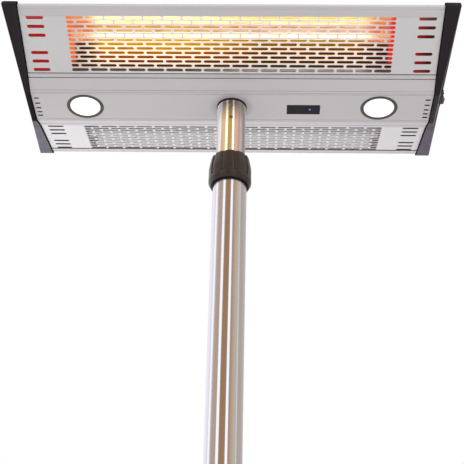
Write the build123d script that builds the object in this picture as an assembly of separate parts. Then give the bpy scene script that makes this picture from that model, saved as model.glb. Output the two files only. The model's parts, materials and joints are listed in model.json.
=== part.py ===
from build123d import *
import math
import os

# Free-standing infrared patio heater: a long two-winged heater head on a telescoping mast.
# Millimetres. +Z is up, +X runs along the head, -Y is the side of the lit wing.
# The origin is on the floor, under the mast axis. The mast is shown fully lowered.

# ---------------------------------------------------------------- driving dimensions
# Base
foot_height = 8.0
foot_radius = 16.0
foot_count = 6
foot_circle_radius = 212.0
base_radius = 250.0
weight_thickness = 14.0
cover_sheet = 1.5
cover_hang = 2.0
cover_wall_height = 22.0
cover_shoulder = 8.0
cover_dome_rise = 16.0
cover_flat_radius = 62.0
flange_radius = 75.0
flange_thickness = 8.0
flange_hub_height = 45.0
bolt_circle_radius = 56.0
bolt_radius = 4.0
bolt_head_radius = 7.0
bolt_head_height = 5.5
bolt_depth = 10.0
foot_taper = 2.0
trim_ring_radius = 52.0
trim_ring_height = 14.0
trim_ring_rim = 3.5
trim_ring_wall = 3.0

# Mast
lower_tube_radius = 34.2
lower_tube_wall = 1.5
lower_tube_length = 1800.0
upper_tube_radius = 29.7
upper_tube_wall = 1.5
mast_travel = 300.0
exposed_mast = 136.5
guide_length = 60.0
stop_ring_height = 8.0
plug_lip = 5.0
plug_depth = 25.0
plug_bore = 6.0
lip_reach = 2.3
stop_clearance = 2.0

# Twist clamp at the top of the lower tube
collar_top_radius = 38.8
collar_radius = 43.2
collar_height = 65.7
collar_shoulder = 29.0
collar_round = 1.5
collar_chamfer = 8.0
collar_foot_wall = 1.3
collar_lip = 3.0
clamp_rise = 17.0
clamp_sleeve_radius = 37.6
clamp_sleeve_drop = 48.7
clamp_seat = 5.0
clamp_foot_height = 7.3
clamp_foot_radius = 35.2
collet_height = 8.5
collet_wall = 3.4
collet_slit = 3.0
flute_count = 10
flute_width = 7.0
flute_depth = 2.0
flute_length = 50.0

# Cable gland on the back of the lower tube
gland_height = 110.0
gland_bore = 4.5
gland_neck_radius = 8.0
gland_flange_radius = 12.0
gland_flange = 4.0
gland_nose = 14.0
gland_wall = 1.5
gland_nut = 5.0

# Head outline, given from the plane of its widest edges (the rim plane)
head_length = 900.0
head_depth = 485.4
spine_fall = 13.5
spine_flat_width = 93.2
shoulder_half = 77.4
shoulder_step = 4.1
wing_root_half = 86.8
wing_angle = 14.8
rim_low = 1.9
rim_high = 2.5
rim_round = 3.0
rim_round_steps = 4
roof_angle = 15.3
ridge_half = 120.0
sheet = 1.5
skin = 2.5
rail_leg = 24.0
rail_web = 7.5
rail_heel = 4.0
rim_band = 22.7
rim_band_drop = 7.2
rim_line = 7.2
rim_line_half = 0.8
rim_line_depth = 1.0
roof_setback = 2.0

# Grille plates, and the edges of spine and rail that stand under them
plate = 1.0
plate_gap = 1.0
edge_lip = 1.5
root_ledge = 5.0
rim_ledge = 2.0
ledge = 2.0
row_pitch = 10.35
first_row = 8.7
brick_from_end = 123.0
column_pitch = 38.6
slot_length = 35.0
slot_width = 7.5
side_slot_length = 35.0
side_slot_from_end = 62.0

# Fine lines and slots of the spine
line_offsets = (41.8, 46.6, 51.3)
line_width = 1.0
line_depth = 0.8
seam_width = 1.2
seam_depth = 3.0
vent_count = 5
vent_pitch = 17.0
vent_pitch_drop = 1.7
vent_length = 10.5
vent_width = 4.8
vent_inset = 9.3
vent_shift = 2.0

# End caps
cap_width = 32.0
cap_lean = 18.0
cap_wall = 5.5
cap_proud = 3.4
cap_nose = 1.2
cap_round = 1.2

# Heating
reflector_sheet = 1.0
reflector_rise = 32.0
reflector_gap = 3.0
lamp_offset = 8.6
lamp_lift = 19.0
lamp_radius = 7.0
lamp_wall = 1.0
lamp_from_end = 140.0
lamp_pinch = 8.0
filament_radius = 2.6
filament_from_end = 30.0
filament_tail_radius = 0.9
holder_length = 22.0
holder_width = 20.0
holder_below = 9.0
holder_overlap = 8.0
holder_top_gap = 0.3

# Work lights
light_from_end = 141.0
light_bezel_radius = 39.0
light_lens_radius = 32.0
light_neck = 2.8
light_lip = 1.3
light_neck_height = 9.0
light_lens_depth = 3.0
light_lens_sunk = 0.5
light_bezel_edge = 0.6
light_chip = 14.0
light_chip_height = 1.0
light_cup_height = 24.0
light_cup_wall = 2.3
light_cup_room = 0.5
light_fin_count = 6
light_fin_height = 6.0
light_fin = 2.0
light_fin_inset = 2.0

# Display window and electronics
window_length = 70.0
window_width = 31.0
window_depth = 1.2
window_x = 151.0
window_y = 7.0
window_border = 3.0
indicator_radius = 1.6
indicator_dx = 13.5
receiver_stand = 0.5
receiver_margin = 2.0
receiver_foot_length = 2.0
receiver_foot_width = 12.0
receiver_eye = 8.0
receiver_eye_height = 1.5
board = 1.6
board_length = 140.0
board_width = 80.0
board_x = -150.0
standoff_height = 12.0
standoff_radius = 3.5
standoff_inset = 6.0
transformer_size = (34.0, 28.0, 22.0)
transformer_place = (-40.0, 10.0)
relay_count = 3
relay_size = (18.0, 24.0, 16.0)
relay_pitch = 22.0
relay_y = -20.0
capacitor_radius = 8.0
capacitor_height = 18.0
capacitor_place = (45.0, 20.0)
terminal_x = 90.0
terminal_count = 4
terminal_pitch = 11.5
terminal_width = 22.0
terminal_height = 18.0
terminal_hole = 6.0
terminal_hole_depth = 4.0
tilt_from_window = 8.0
tilt_size = 24.0
tilt_height = 16.0
tilt_dome_radius = 8.0
tilt_dome_height = 6.0

# Mast socket inside the head
socket_flange_length = 116.0
socket_flange_width = 86.0
socket_flange = 8.0
socket_length = 94.0
socket_wall = 4.0
socket_bolt_inset = 11.0
socket_bolt_radius = 3.0
socket_bolt_floor = 0.5
socket_head_radius = 5.0
socket_head_height = 4.0
gasket = 1.5
gasket_radius = 30.9
screw_drops = (19.0, 49.0)
screw_radius = 2.5
screw_head_radius = 4.2
screw_head_height = 2.2

# Mains rocker on the right end cap
switch_y = 12.5
switch_drop = 22.0
switch_length = 31.0
switch_width = 21.0
switch_hood = 3.0
switch_hood_lip = 2.0
switch_hood_edge = 1.0
switch_wall = 1.35
switch_neck = 8.0
switch_body_depth = 14.0
switch_body_inset = 0.5
switch_blade_size = (1.0, 5.0, 6.0)
switch_blade_places = (-8.0, 0.0, 8.0)
rocker_tilt = 12.0
rocker_pin_radius = 1.5
rocker_low = 4.1
rocker_edge = 7.6
rocker_valley = 4.3

# Fasteners on the roof
roof_screw_count = 5
roof_screw_from_end = 70.0
roof_screw_radius = 4.0
roof_screw_head = 2.2
roof_screw_inset = 14.0

# Clearances: running fits, parts pushed together, holes for fasteners, and parts kept apart
run = 0.08
snug = 0.05
fit = 0.2
gap = 0.3

# Length of the tools that cut right through
through = 200.0

# ---------------------------------------------------------------- derived places
weight_top = foot_height + weight_thickness
flange_top = weight_top + flange_thickness
lower_tube_top = flange_top + lower_tube_length
lower_tube_bore = lower_tube_radius - lower_tube_wall
upper_tube_bore = upper_tube_radius - upper_tube_wall
collar_top = lower_tube_top + clamp_rise
upper_tube_top = collar_top + exposed_mast
stop_ring_top = lower_tube_top - mast_travel - stop_clearance
guide_top = stop_ring_top - stop_ring_height - gap
upper_tube_bottom = guide_top - guide_length - gap
underside = upper_tube_top + gasket
spine_floor = underside + skin
half_length = head_length / 2
half_depth = head_depth / 2
body_half = half_length - cap_width
lean = math.tan(math.radians(cap_lean))
roof_slope = math.tan(math.radians(roof_angle))
wing_cos = math.cos(math.radians(wing_angle))
wing_sin = math.sin(math.radians(wing_angle))
flat_half = spine_flat_width / 2
plate_width = (half_depth - rim_band - wing_root_half) / wing_cos
wing_root_drop = rim_band_drop + plate_width * wing_sin
shoulder_drop = wing_root_drop + shoulder_step
spine_drop = shoulder_drop + spine_fall
rim = underside + spine_drop
row_count = int((plate_width - first_row - slot_width / 2) / row_pitch) + 1
column_rib = column_pitch - slot_length
column_count = int((2 * (half_length - brick_from_end) + column_rib) / column_pitch)
side_slot_centre = half_length - side_slot_from_end
neck_length = switch_length - 2 * switch_hood_lip
neck_width = switch_width - 2 * switch_hood_lip
rocker_radius = neck_length / 2 - switch_wall - gap
ledge_top = plate + ledge
cover_bottom = foot_height - cover_hang
cover_top = cover_bottom + cover_wall_height + cover_shoulder + cover_dome_rise
mast_hole = upper_tube_bore + gap
light_neck_radius = light_lens_radius + light_neck
receiver_low = skin + receiver_stand
reflector_end = plate_width - rim_ledge
reflector_middle = (root_ledge + reflector_end) / 2
lamp_from_root = reflector_middle + lamp_offset
lamp_length = 2 * (half_length - lamp_from_end)
filament_length = lamp_length - 2 * filament_from_end
light_x = half_length - light_from_end
tilt_x = window_x + (window_length + tilt_size) / 2 + tilt_from_window
roof_screw_pitch = 2 * (half_length - roof_screw_from_end) / (roof_screw_count - 1)


# ---------------------------------------------------------------- helpers
def ring(outer, inner, low, high):
    """A round tube on the mast axis, between two heights."""
    solid = Cylinder(outer, high - low) - Cylinder(inner, high - low)
    return Pos(0, 0, (low + high) / 2) * solid


def turned(points):
    """A solid of revolution about the mast axis from its (radius, height) outline."""
    return revolve(Plane.XZ * make_face(Polyline(*points, close=True)), Axis.Z)


def long_section(points, half):
    """A profile given as (y, z from the rim plane), drawn along the head."""
    face = Plane.YZ * make_face(Polyline(*points, close=True))
    return Pos(-half, 0, rim) * extrude(face, 2 * half, dir=(1, 0, 0))


def both_sides(points):
    """Closes a half outline, which starts and ends at the middle, by its mirror image."""
    return points + [(-y, z) for y, z in reversed(points) if y > 0]


def wing_at(along, lift):
    """The rear wing's (y, z) at a distance from its root line and a height over its underside."""
    return (
        wing_root_half + along * wing_cos - lift * wing_sin,
        -wing_root_drop + along * wing_sin + lift * wing_cos,
    )


def on_wing(part):
    """Moves a part that was drawn flat, with +Y towards the rim, onto the rear wing."""
    return Pos(0, wing_root_half, rim - wing_root_drop) * Rot(wing_angle, 0, 0) * part


def to_front(part):
    """The rear wing's part turned round to the front wing."""
    return Rot(0, 0, 180) * part


def roof_under(y):
    """Height of the roof sheet's lower face over the rim plane."""
    return rim_high + (half_depth - max(abs(y), ridge_half)) * roof_slope


def group(parts):
    """Separate solids that share one node."""
    solids = []
    for part in parts:
        solids += part.solids()
    return Compound(solids)


# ---------------------------------------------------------------- base
def bolt_places(radius, count=4):
    return PolarLocations(radius, count, start_angle=180 / count)


def make_base_weight():
    disc = Pos(0, 0, foot_height + weight_thickness / 2) * Cylinder(
        base_radius - cover_sheet - gap, weight_thickness
    )
    hole = Pos(0, 0, weight_top - bolt_depth / 2) * Cylinder(bolt_radius + fit, bolt_depth)
    for place in bolt_places(bolt_circle_radius):
        disc -= place * hole
    return disc


def make_rubber_feet():
    foot = Pos(0, 0, foot_height / 2) * Cone(foot_radius - foot_taper, foot_radius, foot_height)
    return group([place * foot for place in PolarLocations(foot_circle_radius, foot_count)])


def make_base_cover():
    wall_top = cover_bottom + cover_wall_height
    shoulder_top = wall_top + cover_shoulder
    inside = base_radius - cover_sheet
    hole = lower_tube_radius + gap
    points = [
        (base_radius, cover_bottom),
        (base_radius, wall_top),
        (base_radius - cover_shoulder, shoulder_top),
        (cover_flat_radius, cover_top),
        (hole, cover_top),
        (hole, cover_top - cover_sheet),
        (cover_flat_radius, cover_top - cover_sheet),
        (base_radius - cover_shoulder - cover_sheet / 2, shoulder_top - cover_sheet),
        (inside, wall_top - cover_sheet / 2),
        (inside, cover_bottom),
    ]
    return turned(points)


def make_mast_flange():
    hub = lower_tube_bore - fit
    points = [
        (0, weight_top),
        (flange_radius, weight_top),
        (flange_radius, flange_top),
        (hub, flange_top),
        (hub, flange_top + flange_hub_height),
        (0, flange_top + flange_hub_height),
    ]
    flange = turned(points)
    hole = Pos(0, 0, weight_top + flange_thickness / 2) * Cylinder(
        bolt_radius + fit, flange_thickness
    )
    for place in bolt_places(bolt_circle_radius):
        flange -= place * hole
    return flange


def make_flange_bolts():
    length = bolt_depth + flange_thickness
    shank = Pos(0, 0, flange_top - length / 2) * Cylinder(bolt_radius, length)
    head = Pos(0, 0, flange_top) * extrude(RegularPolygon(bolt_head_radius, 6), bolt_head_height)
    bolt = shank + head
    return group([place * bolt for place in bolt_places(bolt_circle_radius)])


def make_base_trim_ring():
    hole = lower_tube_radius + gap
    top = cover_top + trim_ring_height
    points = [
        (hole, cover_top),
        (trim_ring_radius, cover_top),
        (trim_ring_radius, cover_top + trim_ring_rim),
        (hole + trim_ring_wall, top),
        (hole, top),
    ]
    return turned(points)


# ---------------------------------------------------------------- lower mast
def gland_axis(part):
    """Turns a part drawn along +Z to the gland's axis, with its foot on the tube's back."""
    return Pos(0, lower_tube_radius, gland_height) * Rot(-90, 0, 0) * part


def make_lower_tube():
    tube = ring(lower_tube_radius, lower_tube_bore, flange_top, lower_tube_top)
    return tube - gland_axis(Cylinder(gland_neck_radius + fit, 4 * lower_tube_wall))


def gland_seat():
    """How far the flat gland parts stand off the tube's round outer and inner faces."""
    inner = lower_tube_bore - math.sqrt(lower_tube_bore**2 - gland_flange_radius**2)
    return gap / 3, -lower_tube_wall - inner - gap


def make_cable_gland():
    outside, inside = gland_seat()
    body = Pos(0, 0, outside) * extrude(RegularPolygon(gland_flange_radius, 6), gland_flange)
    nose = Pos(0, 0, outside + gland_flange + gland_nose / 2) * Cone(
        gland_neck_radius + gland_wall, gland_bore + gland_wall, gland_nose
    )
    neck_end = inside - gland_nut
    neck = Pos(0, 0, (outside + neck_end) / 2) * Cylinder(
        gland_neck_radius, outside - neck_end
    )
    return gland_axis(body + nose + neck - Cylinder(gland_bore, through))


def make_gland_nut():
    inside = gland_seat()[1]
    nut = Pos(0, 0, inside - gland_nut) * extrude(
        RegularPolygon(gland_flange_radius, 6), gland_nut
    )
    return gland_axis(nut - Cylinder(gland_neck_radius + run, through))


def make_clamp_body():
    """Threaded sleeve pushed over the lower tube's end, with the seat of the collet."""
    seat_top = lower_tube_top + clamp_seat
    sleeve_low = lower_tube_top - clamp_sleeve_drop
    foot_low = sleeve_low - clamp_foot_height
    tube = lower_tube_radius + snug
    points = [
        (tube, foot_low),
        (clamp_foot_radius, foot_low),
        (clamp_sleeve_radius, sleeve_low),
        (clamp_sleeve_radius, seat_top),
        (upper_tube_radius + gap, seat_top),
        (upper_tube_radius + gap, lower_tube_top),
        (tube, lower_tube_top),
    ]
    return turned(points)


def make_clamp_collet():
    """Split ring that the collar squeezes onto the upper tube."""
    low = lower_tube_top + clamp_seat
    bore = upper_tube_radius + run
    points = [
        (bore, low),
        (bore + collet_wall, low),
        (bore + collet_wall / 2, low + collet_height),
        (bore, low + collet_height),
    ]
    slit = Pos(bore, 0, low) * Box(bore, collet_slit, through)
    return turned(points) - slit


def make_clamp_collar():
    """The turning hand nut, with flutes between its grip pads."""
    bottom = collar_top - collar_height
    inner = clamp_sleeve_radius + run
    collet_room = upper_tube_radius + run + collet_wall + gap
    seat_top = lower_tube_top + clamp_seat + gap
    lip_low = collar_top - collar_lip
    points = [
        (inner, bottom),
        (inner + collar_foot_wall, bottom),
        (collar_radius, bottom + collar_chamfer),
        (collar_radius, collar_top - collar_shoulder),
        (collar_top_radius, collar_top - collar_round),
        (collar_top_radius - collar_round, collar_top),
        (upper_tube_radius + gap, collar_top),
        (upper_tube_radius + gap, lip_low),
        (collet_room, lip_low),
        (collet_room, seat_top),
        (inner, seat_top),
    ]
    nut = turned(points)
    flute = Pos(collar_radius, 0, collar_top - flute_length / 2) * Box(
        2 * flute_depth, flute_width, flute_length
    )
    flute = chamfer(flute.edges().filter_by(Axis.X).group_by(Axis.Z)[0], flute_width / 3)
    for place in PolarLocations(0, flute_count):
        nut -= place * flute
    return nut


# ---------------------------------------------------------------- upper mast
def make_upper_tube():
    tube = ring(upper_tube_radius, upper_tube_bore, upper_tube_bottom, upper_tube_top)
    for drop in screw_drops:
        tube -= front_screw(drop, Cylinder(screw_radius + run, 4 * upper_tube_wall))
    return tube


def front_screw(drop, part):
    """Turns a part drawn along +Z outwards from the upper tube's front face."""
    return Pos(0, -upper_tube_radius, underside - drop) * Rot(90, 0, 0) * part


def make_mast_screws():
    length = upper_tube_wall + socket_wall
    shank = Pos(0, 0, gap / 2 - length / 2) * Cylinder(screw_radius, length + gap)
    head = Pos(0, 0, gap / 2 + screw_head_height / 2) * Cylinder(
        screw_head_radius, screw_head_height
    )
    return group([front_screw(drop, shank + head) for drop in screw_drops])


def make_slide_guide():
    """Nylon bush that runs in the lower tube. The upper tube turns in it."""
    return ring(lower_tube_bore - run, upper_tube_radius + run, guide_top - guide_length, guide_top)


def make_guide_stop_ring():
    return ring(
        upper_tube_radius + lip_reach,
        upper_tube_radius + snug,
        stop_ring_top - stop_ring_height,
        stop_ring_top,
    )


def make_tube_end_plug():
    shank = upper_tube_bore - snug
    points = [
        (plug_bore, upper_tube_bottom - plug_lip),
        (upper_tube_radius + lip_reach, upper_tube_bottom - plug_lip),
        (upper_tube_radius + lip_reach, upper_tube_bottom),
        (shank, upper_tube_bottom),
        (shank, upper_tube_bottom + plug_depth),
        (plug_bore, upper_tube_bottom + plug_depth),
    ]
    return turned(points)


def make_mast_gasket():
    return ring(gasket_radius, mast_hole, upper_tube_top, underside)


def socket_bolt_places():
    dx = socket_flange_length - 2 * socket_bolt_inset
    dy = socket_flange_width - 2 * socket_bolt_inset
    return GridLocations(dx, dy, 2, 2)


def make_mast_socket():
    """Cast spigot bolted into the spine. The upper tube is pushed over it."""
    outer = upper_tube_bore - snug
    top = spine_floor + socket_flange
    flange = Pos(0, 0, (spine_floor + top) / 2) * Box(
        socket_flange_length, socket_flange_width, socket_flange
    )
    flange = fillet(flange.edges().filter_by(Axis.Z), socket_bolt_inset)
    spigot = Pos(0, 0, spine_floor - socket_length / 2) * Cylinder(outer, socket_length)
    bore = Pos(0, 0, spine_floor) * Cylinder(outer - socket_wall, 3 * socket_length)
    socket = flange + spigot - bore
    drill = Cylinder(screw_radius + run, 6 * socket_wall)
    for drop in screw_drops:
        socket -= front_screw(drop, drill)
    hole = Pos(0, 0, spine_floor) * Cylinder(socket_bolt_radius + fit, 4 * socket_flange)
    for place in socket_bolt_places():
        socket -= place * hole
    return socket


def make_socket_bolts():
    length = socket_flange + skin - socket_bolt_floor
    top = spine_floor + socket_flange
    shank = Pos(0, 0, top - length / 2) * Cylinder(socket_bolt_radius, length)
    head = Pos(0, 0, top) * extrude(RegularPolygon(socket_head_radius, 6), socket_head_height)
    return group([place * (shank + head) for place in socket_bolt_places()])


# ---------------------------------------------------------------- head extrusions
def vent_place(row):
    """How far a vent lies behind the first one. The gaps close up towards the back."""
    return row * vent_pitch - vent_pitch_drop * row * (row - 1) / 2


def make_spine_panel():
    """Aluminium extrusion: flat middle, two sloping shoulders and the grille's inner ledges."""
    shoulder_slope = (spine_drop - shoulder_drop) / (shoulder_half - flat_half)
    seam_in = shoulder_half - seam_width / 2
    seam_out = shoulder_half + seam_width / 2
    seam_top = -shoulder_drop + seam_depth
    lower = [(0, -spine_drop)]
    for offset in line_offsets:
        for y, lift in ((-1, 0), (-1, 1), (1, 1), (1, 0)):
            at = offset + y * line_width / 2
            z = -spine_drop + max(at - flat_half, 0) * shoulder_slope
            lower.append((at, z + lift * line_depth))
    lower += [
        (seam_in, -spine_drop + (seam_in - flat_half) * shoulder_slope),
        (seam_in, seam_top),
        (seam_out, seam_top),
        (seam_out, -shoulder_drop + seam_width / 4),
        wing_at(0, -edge_lip),
        wing_at(0, plate),
        wing_at(root_ledge, plate),
        wing_at(root_ledge, ledge_top),
        wing_at(-skin, ledge_top),
        (seam_in, seam_top + skin),
        (flat_half, -spine_drop + skin),
    ]
    spine = long_section(both_sides(lower), body_half)
    cut_height = 6 * skin
    spine -= Pos(0, 0, underside) * Cylinder(mast_hole, cut_height)
    for side in (-1, 1):
        spine -= Pos(side * light_x, 0, underside) * Cylinder(
            light_neck_radius + fit, cut_height
        )
        for row in range(vent_count):
            y = vent_shift + vent_place(row) - vent_place(vent_count - 1) / 2
            x = side * (body_half - vent_inset)
            spine -= Pos(x, y, underside) * Box(vent_length, vent_width, cut_height)
    spine -= at_window(Box(window_length + fit, window_width + fit, 2 * window_depth))
    spine -= at_window(
        Box(window_length - 2 * window_border, window_width - 2 * window_border, cut_height)
    )
    bolt_hole = Pos(0, 0, spine_floor) * Cylinder(
        socket_bolt_radius + fit, 2 * (skin - socket_bolt_floor)
    )
    for place in socket_bolt_places():
        spine -= place * bolt_hole
    return spine


def make_rail():
    """Rear rim extrusion: lower band, round nose and the leg that carries the roof."""
    nose = half_depth
    band = wing_at(plate_width, -edge_lip)
    line_in = nose - rim_line - rim_line_half
    line_out = nose - rim_line + rim_line_half
    web = nose - rail_web
    slope = (-rim_low - band[1]) / (nose - rim_round - band[0])

    def low(y):
        return band[1] + (y - band[0]) * slope

    def round_at(step):
        angle = math.radians(90 * step / rim_round_steps)
        return (
            nose - rim_round * (1 - math.sin(angle)),
            -rim_low + rim_round * (1 - math.cos(angle)),
        )

    leg_in = nose - rail_leg
    points = [
        band,
        (line_in, low(line_in)),
        (line_in, low(line_in) + rim_line_depth),
        (line_out, low(line_in) + rim_line_depth),
        (line_out, low(line_out)),
        *[round_at(step) for step in range(rim_round_steps + 1)],
        (nose, roof_under(nose)),
        (leg_in, roof_under(leg_in)),
        (leg_in, roof_under(leg_in) - skin),
        (web, roof_under(web) - skin),
        wing_at(plate_width + rail_heel, ledge_top),
        wing_at(plate_width - rim_ledge, ledge_top),
        wing_at(plate_width - rim_ledge, plate),
        wing_at(plate_width, plate),
    ]
    return long_section(points, body_half)


def slot_places():
    """Centres and lengths of the brick pattern, as (x, distance from the root line, length)."""
    half_slot = (slot_length - column_rib) / 2
    places = []
    for row in range(row_count):
        y = first_row + row * row_pitch
        if row % 2 == 0:
            for column in range(column_count):
                x = (column - (column_count - 1) / 2) * column_pitch
                places.append((x, y, slot_length))
        else:
            for column in range(column_count - 1):
                x = (column - (column_count - 2) / 2) * column_pitch
                places.append((x, y, slot_length))
            edge = (column_count - 1) / 2 * column_pitch + slot_length / 2 - half_slot / 2
            places += [(-edge, y, half_slot), (edge, y, half_slot)]
        if row % 2 == 0 and row != row_count // 2:
            places += [(side * side_slot_centre, y, side_slot_length) for side in (-1, 1)]
    return places


def make_grille():
    """Rear grille plate with its slots."""
    width = plate_width - 2 * plate_gap
    blank = Pos(0, plate_width / 2) * Rectangle(2 * body_half, width)
    slots = [Pos(x, y) * Rectangle(length, slot_width) for x, y, length in slot_places()]
    return on_wing(extrude(blank - slots, plate, dir=(0, 0, 1)))


def make_roof():
    """Top sheet, folded at the two ridge lines."""
    edge = half_depth - roof_setback
    points = [
        (ridge_half, roof_under(ridge_half)),
        (edge, roof_under(edge)),
        (edge, roof_under(edge) + sheet),
        (ridge_half, roof_under(ridge_half) + sheet),
    ]
    return long_section(both_sides(points), body_half)


def roof_screw_places():
    y = half_depth - roof_screw_inset
    for side in (-1, 1):
        for index in range(roof_screw_count):
            x = (index - (roof_screw_count - 1) / 2) * roof_screw_pitch
            turn = Pos(x, side * y, rim + roof_under(y) + sheet) * Rot(-side * roof_angle, 0, 0)
            yield turn


def make_roof_screws():
    head = extrude(RegularPolygon(roof_screw_radius, 6), roof_screw_head)
    return group([place * head for place in roof_screw_places()])


# ---------------------------------------------------------------- end caps
def hull_outline():
    """Half outline of the head, from the flat underside round to the flat roof."""
    return [
        (flat_half, -spine_drop),
        (shoulder_half, -shoulder_drop),
        (half_depth - cap_nose, -rim_low),
        (half_depth, -rim_low + cap_nose),
        (half_depth, rim_high + sheet / 2),
        (ridge_half, roof_under(ridge_half) + sheet),
    ]


def leaning_block(outer_x):
    """Room inside an end cap's two leaning outer faces, which meet at the rim plane."""
    reach = 2 * spine_drop
    points = [
        (body_half, -reach),
        (outer_x - reach * lean, -reach),
        (outer_x, 0),
        (outer_x - reach * lean, reach),
        (body_half, reach),
    ]
    face = Plane.XZ * make_face(Polyline(*points, close=True))
    return Pos(0, 0, rim) * extrude(face, head_depth, both=True)


def cap_prism(amount):
    """The head's outline, grown or shrunk, drawn over the width of an end cap."""
    outline = Polyline(*both_sides(hull_outline()), close=True)
    face = offset(make_face(outline), amount, kind=Kind.INTERSECTION)
    return Pos(body_half, 0, rim) * extrude(Plane.YZ * face, 2 * cap_width, dir=(1, 0, 0))


def make_plain_cap():
    outside = cap_prism(cap_proud) & leaning_block(half_length)
    rims = outside.edges().filter_by(Axis.X, reverse=True)
    outer_edges = rims.filter_by(lambda edge: edge.center().X > body_half + cap_width / 3)
    outside = fillet(outer_edges, cap_round)
    end_wall = cap_wall / math.cos(math.radians(cap_lean))
    inside = cap_prism(cap_proud - cap_wall) & leaning_block(half_length - end_wall)
    return outside - inside


def switch_plane():
    """Frame on the right cap's leaning face: x to the back, y up the face, z outwards."""
    angle = math.radians(cap_lean)
    origin = (half_length - switch_drop * lean, switch_y, rim - switch_drop)
    return Plane(origin=origin, x_dir=(0, 1, 0), z_dir=(math.cos(angle), 0, -math.sin(angle)))


def on_switch(part):
    return switch_plane().location * part


def make_right_end_cap():
    opening = Box(neck_length + fit, neck_width + fit, 6 * cap_wall)
    return make_plain_cap() - on_switch(opening)


def make_left_end_cap():
    return Rot(0, 0, 180) * make_plain_cap()


# ---------------------------------------------------------------- mains rocker
def make_switch_frame():
    inner = Box(neck_length - 2 * switch_wall, neck_width - 2 * switch_wall, through)
    hood = Pos(0, 0, switch_hood / 2) * Box(switch_length, switch_width, switch_hood)
    hood = chamfer(hood.edges().group_by(Axis.Z)[-1], switch_hood_edge)
    neck = Pos(0, 0, -switch_neck / 2) * Box(neck_length, neck_width, switch_neck)
    pin_hole = Rot(90, 0, 0) * Cylinder(rocker_pin_radius + run, neck_width - 2 * gap)
    return on_switch(hood + neck - inner - pin_hole)


def make_switch_body():
    length = neck_length - 2 * switch_body_inset
    width = neck_width - 2 * switch_body_inset
    bottom = -switch_neck - switch_body_depth
    block = Pos(0, 0, bottom + switch_body_depth / 2) * Box(length, width, switch_body_depth)
    for x in switch_blade_places:
        block += Pos(x, 0, bottom - switch_blade_size[2] / 2) * Box(*switch_blade_size)
    return on_switch(block)


def make_power_rocker():
    """Rocker with a shallow valley, tipped to one end, on its two moulded pins."""
    points = [
        (-rocker_radius, -rocker_low),
        (rocker_radius, -rocker_low),
        (rocker_radius, rocker_edge),
        (0, rocker_valley),
        (-rocker_radius, rocker_edge),
    ]
    side = make_face(Polyline(*points, close=True)) & Circle(rocker_radius)
    width = neck_width - 2 * switch_wall - 2 * gap
    body = extrude(Plane.XZ * side, width / 2, both=True)
    pins = Rot(90, 0, 0) * Cylinder(rocker_pin_radius, neck_width - 4 * gap)
    return on_switch(Rot(0, -rocker_tilt, 0) * (body + pins))


# ---------------------------------------------------------------- heating
def reflector_under(along):
    """Height of the trough's inner face over the wing's underside, from the arc's circle."""
    half = (reflector_end - root_ledge) / 2
    radius = (half**2 + reflector_rise**2) / (2 * reflector_rise)
    centre = ledge_top + reflector_rise - radius
    return centre + math.sqrt(radius**2 - (along - reflector_middle) ** 2)


def make_reflector():
    """Rolled sheet: a trough between two flanges that lie on the ledges of spine and rail."""
    start = root_ledge
    end = reflector_end
    lip = end + rim_ledge - gap
    top = ledge_top + reflector_sheet
    inner_top = ledge_top + reflector_rise
    outside = reflector_sheet / 3
    outline = [
        ThreePointArc((start, ledge_top), (reflector_middle, inner_top), (end, ledge_top)),
        Polyline((end, ledge_top), (lip, ledge_top), (lip, top), (end + outside, top)),
        ThreePointArc(
            (end + outside, top),
            (reflector_middle, inner_top + reflector_sheet),
            (start - outside, top),
        ),
        Polyline((start - outside, top), (0, top), (0, ledge_top), (start, ledge_top)),
    ]
    face = Plane.YZ * make_face(Curve() + outline)
    half = body_half - reflector_gap
    return on_wing(Pos(-half, 0, 0) * extrude(face, 2 * half, dir=(1, 0, 0)))


def at_lamp(part):
    return on_wing(Pos(0, lamp_from_root, lamp_lift) * part)


def make_lamp():
    """Quartz tube, closed by a pinch at each end."""
    room = Cylinder(lamp_radius - lamp_wall, lamp_length - 2 * lamp_pinch)
    return at_lamp(Rot(0, 90, 0) * (Cylinder(lamp_radius, lamp_length) - room))


def make_filament():
    """The coil's room as a rod, with a straight tail at each end that reaches the pinch."""
    tails = Cylinder(filament_tail_radius, lamp_length - 2 * lamp_pinch)
    return at_lamp(Rot(0, 90, 0) * (Cylinder(filament_radius, filament_length) + tails))


def make_lamp_holders():
    """Ceramic blocks that hang the lamp's ends under the reflector."""
    top = reflector_under(lamp_from_root + holder_width / 2) - holder_top_gap
    low = lamp_lift - holder_below
    block = Pos(0, lamp_from_root, (top + low) / 2) * Box(holder_length, holder_width, top - low)
    socket = Rot(0, 90, 0) * Cylinder(lamp_radius + fit, 2 * holder_overlap)
    holders = []
    for side in (-1, 1):
        x = side * (lamp_length / 2 - holder_overlap + holder_length / 2)
        lamp_end = Pos(side * (lamp_length / 2 - holder_overlap), lamp_from_root, lamp_lift)
        holders.append(on_wing(Pos(x, 0, 0) * block - lamp_end * socket))
    return group(holders)


# ---------------------------------------------------------------- work lights
def make_light_bezel(x):
    points = [
        (light_lens_radius, underside - light_lip),
        (light_bezel_radius - light_bezel_edge, underside - light_lip),
        (light_bezel_radius, underside - light_lip + light_bezel_edge),
        (light_bezel_radius, underside),
        (light_neck_radius, underside),
        (light_neck_radius, underside + light_neck_height),
        (light_lens_radius, underside + light_neck_height),
    ]
    return Pos(x, 0, 0) * turned(points)


def make_light_lens(x):
    low = underside - light_lip + light_lens_sunk
    lens = Cylinder(light_lens_radius - snug, light_lens_depth)
    return Pos(x, 0, low + light_lens_depth / 2) * lens


def make_light_board(x):
    low = underside + light_neck_height
    disc = Pos(x, 0, low + board / 2) * Cylinder(light_neck_radius - gap, board)
    chip_low = low - light_chip_height / 2
    return disc + Pos(x, 0, chip_low) * Box(light_chip, light_chip, light_chip_height)


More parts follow.
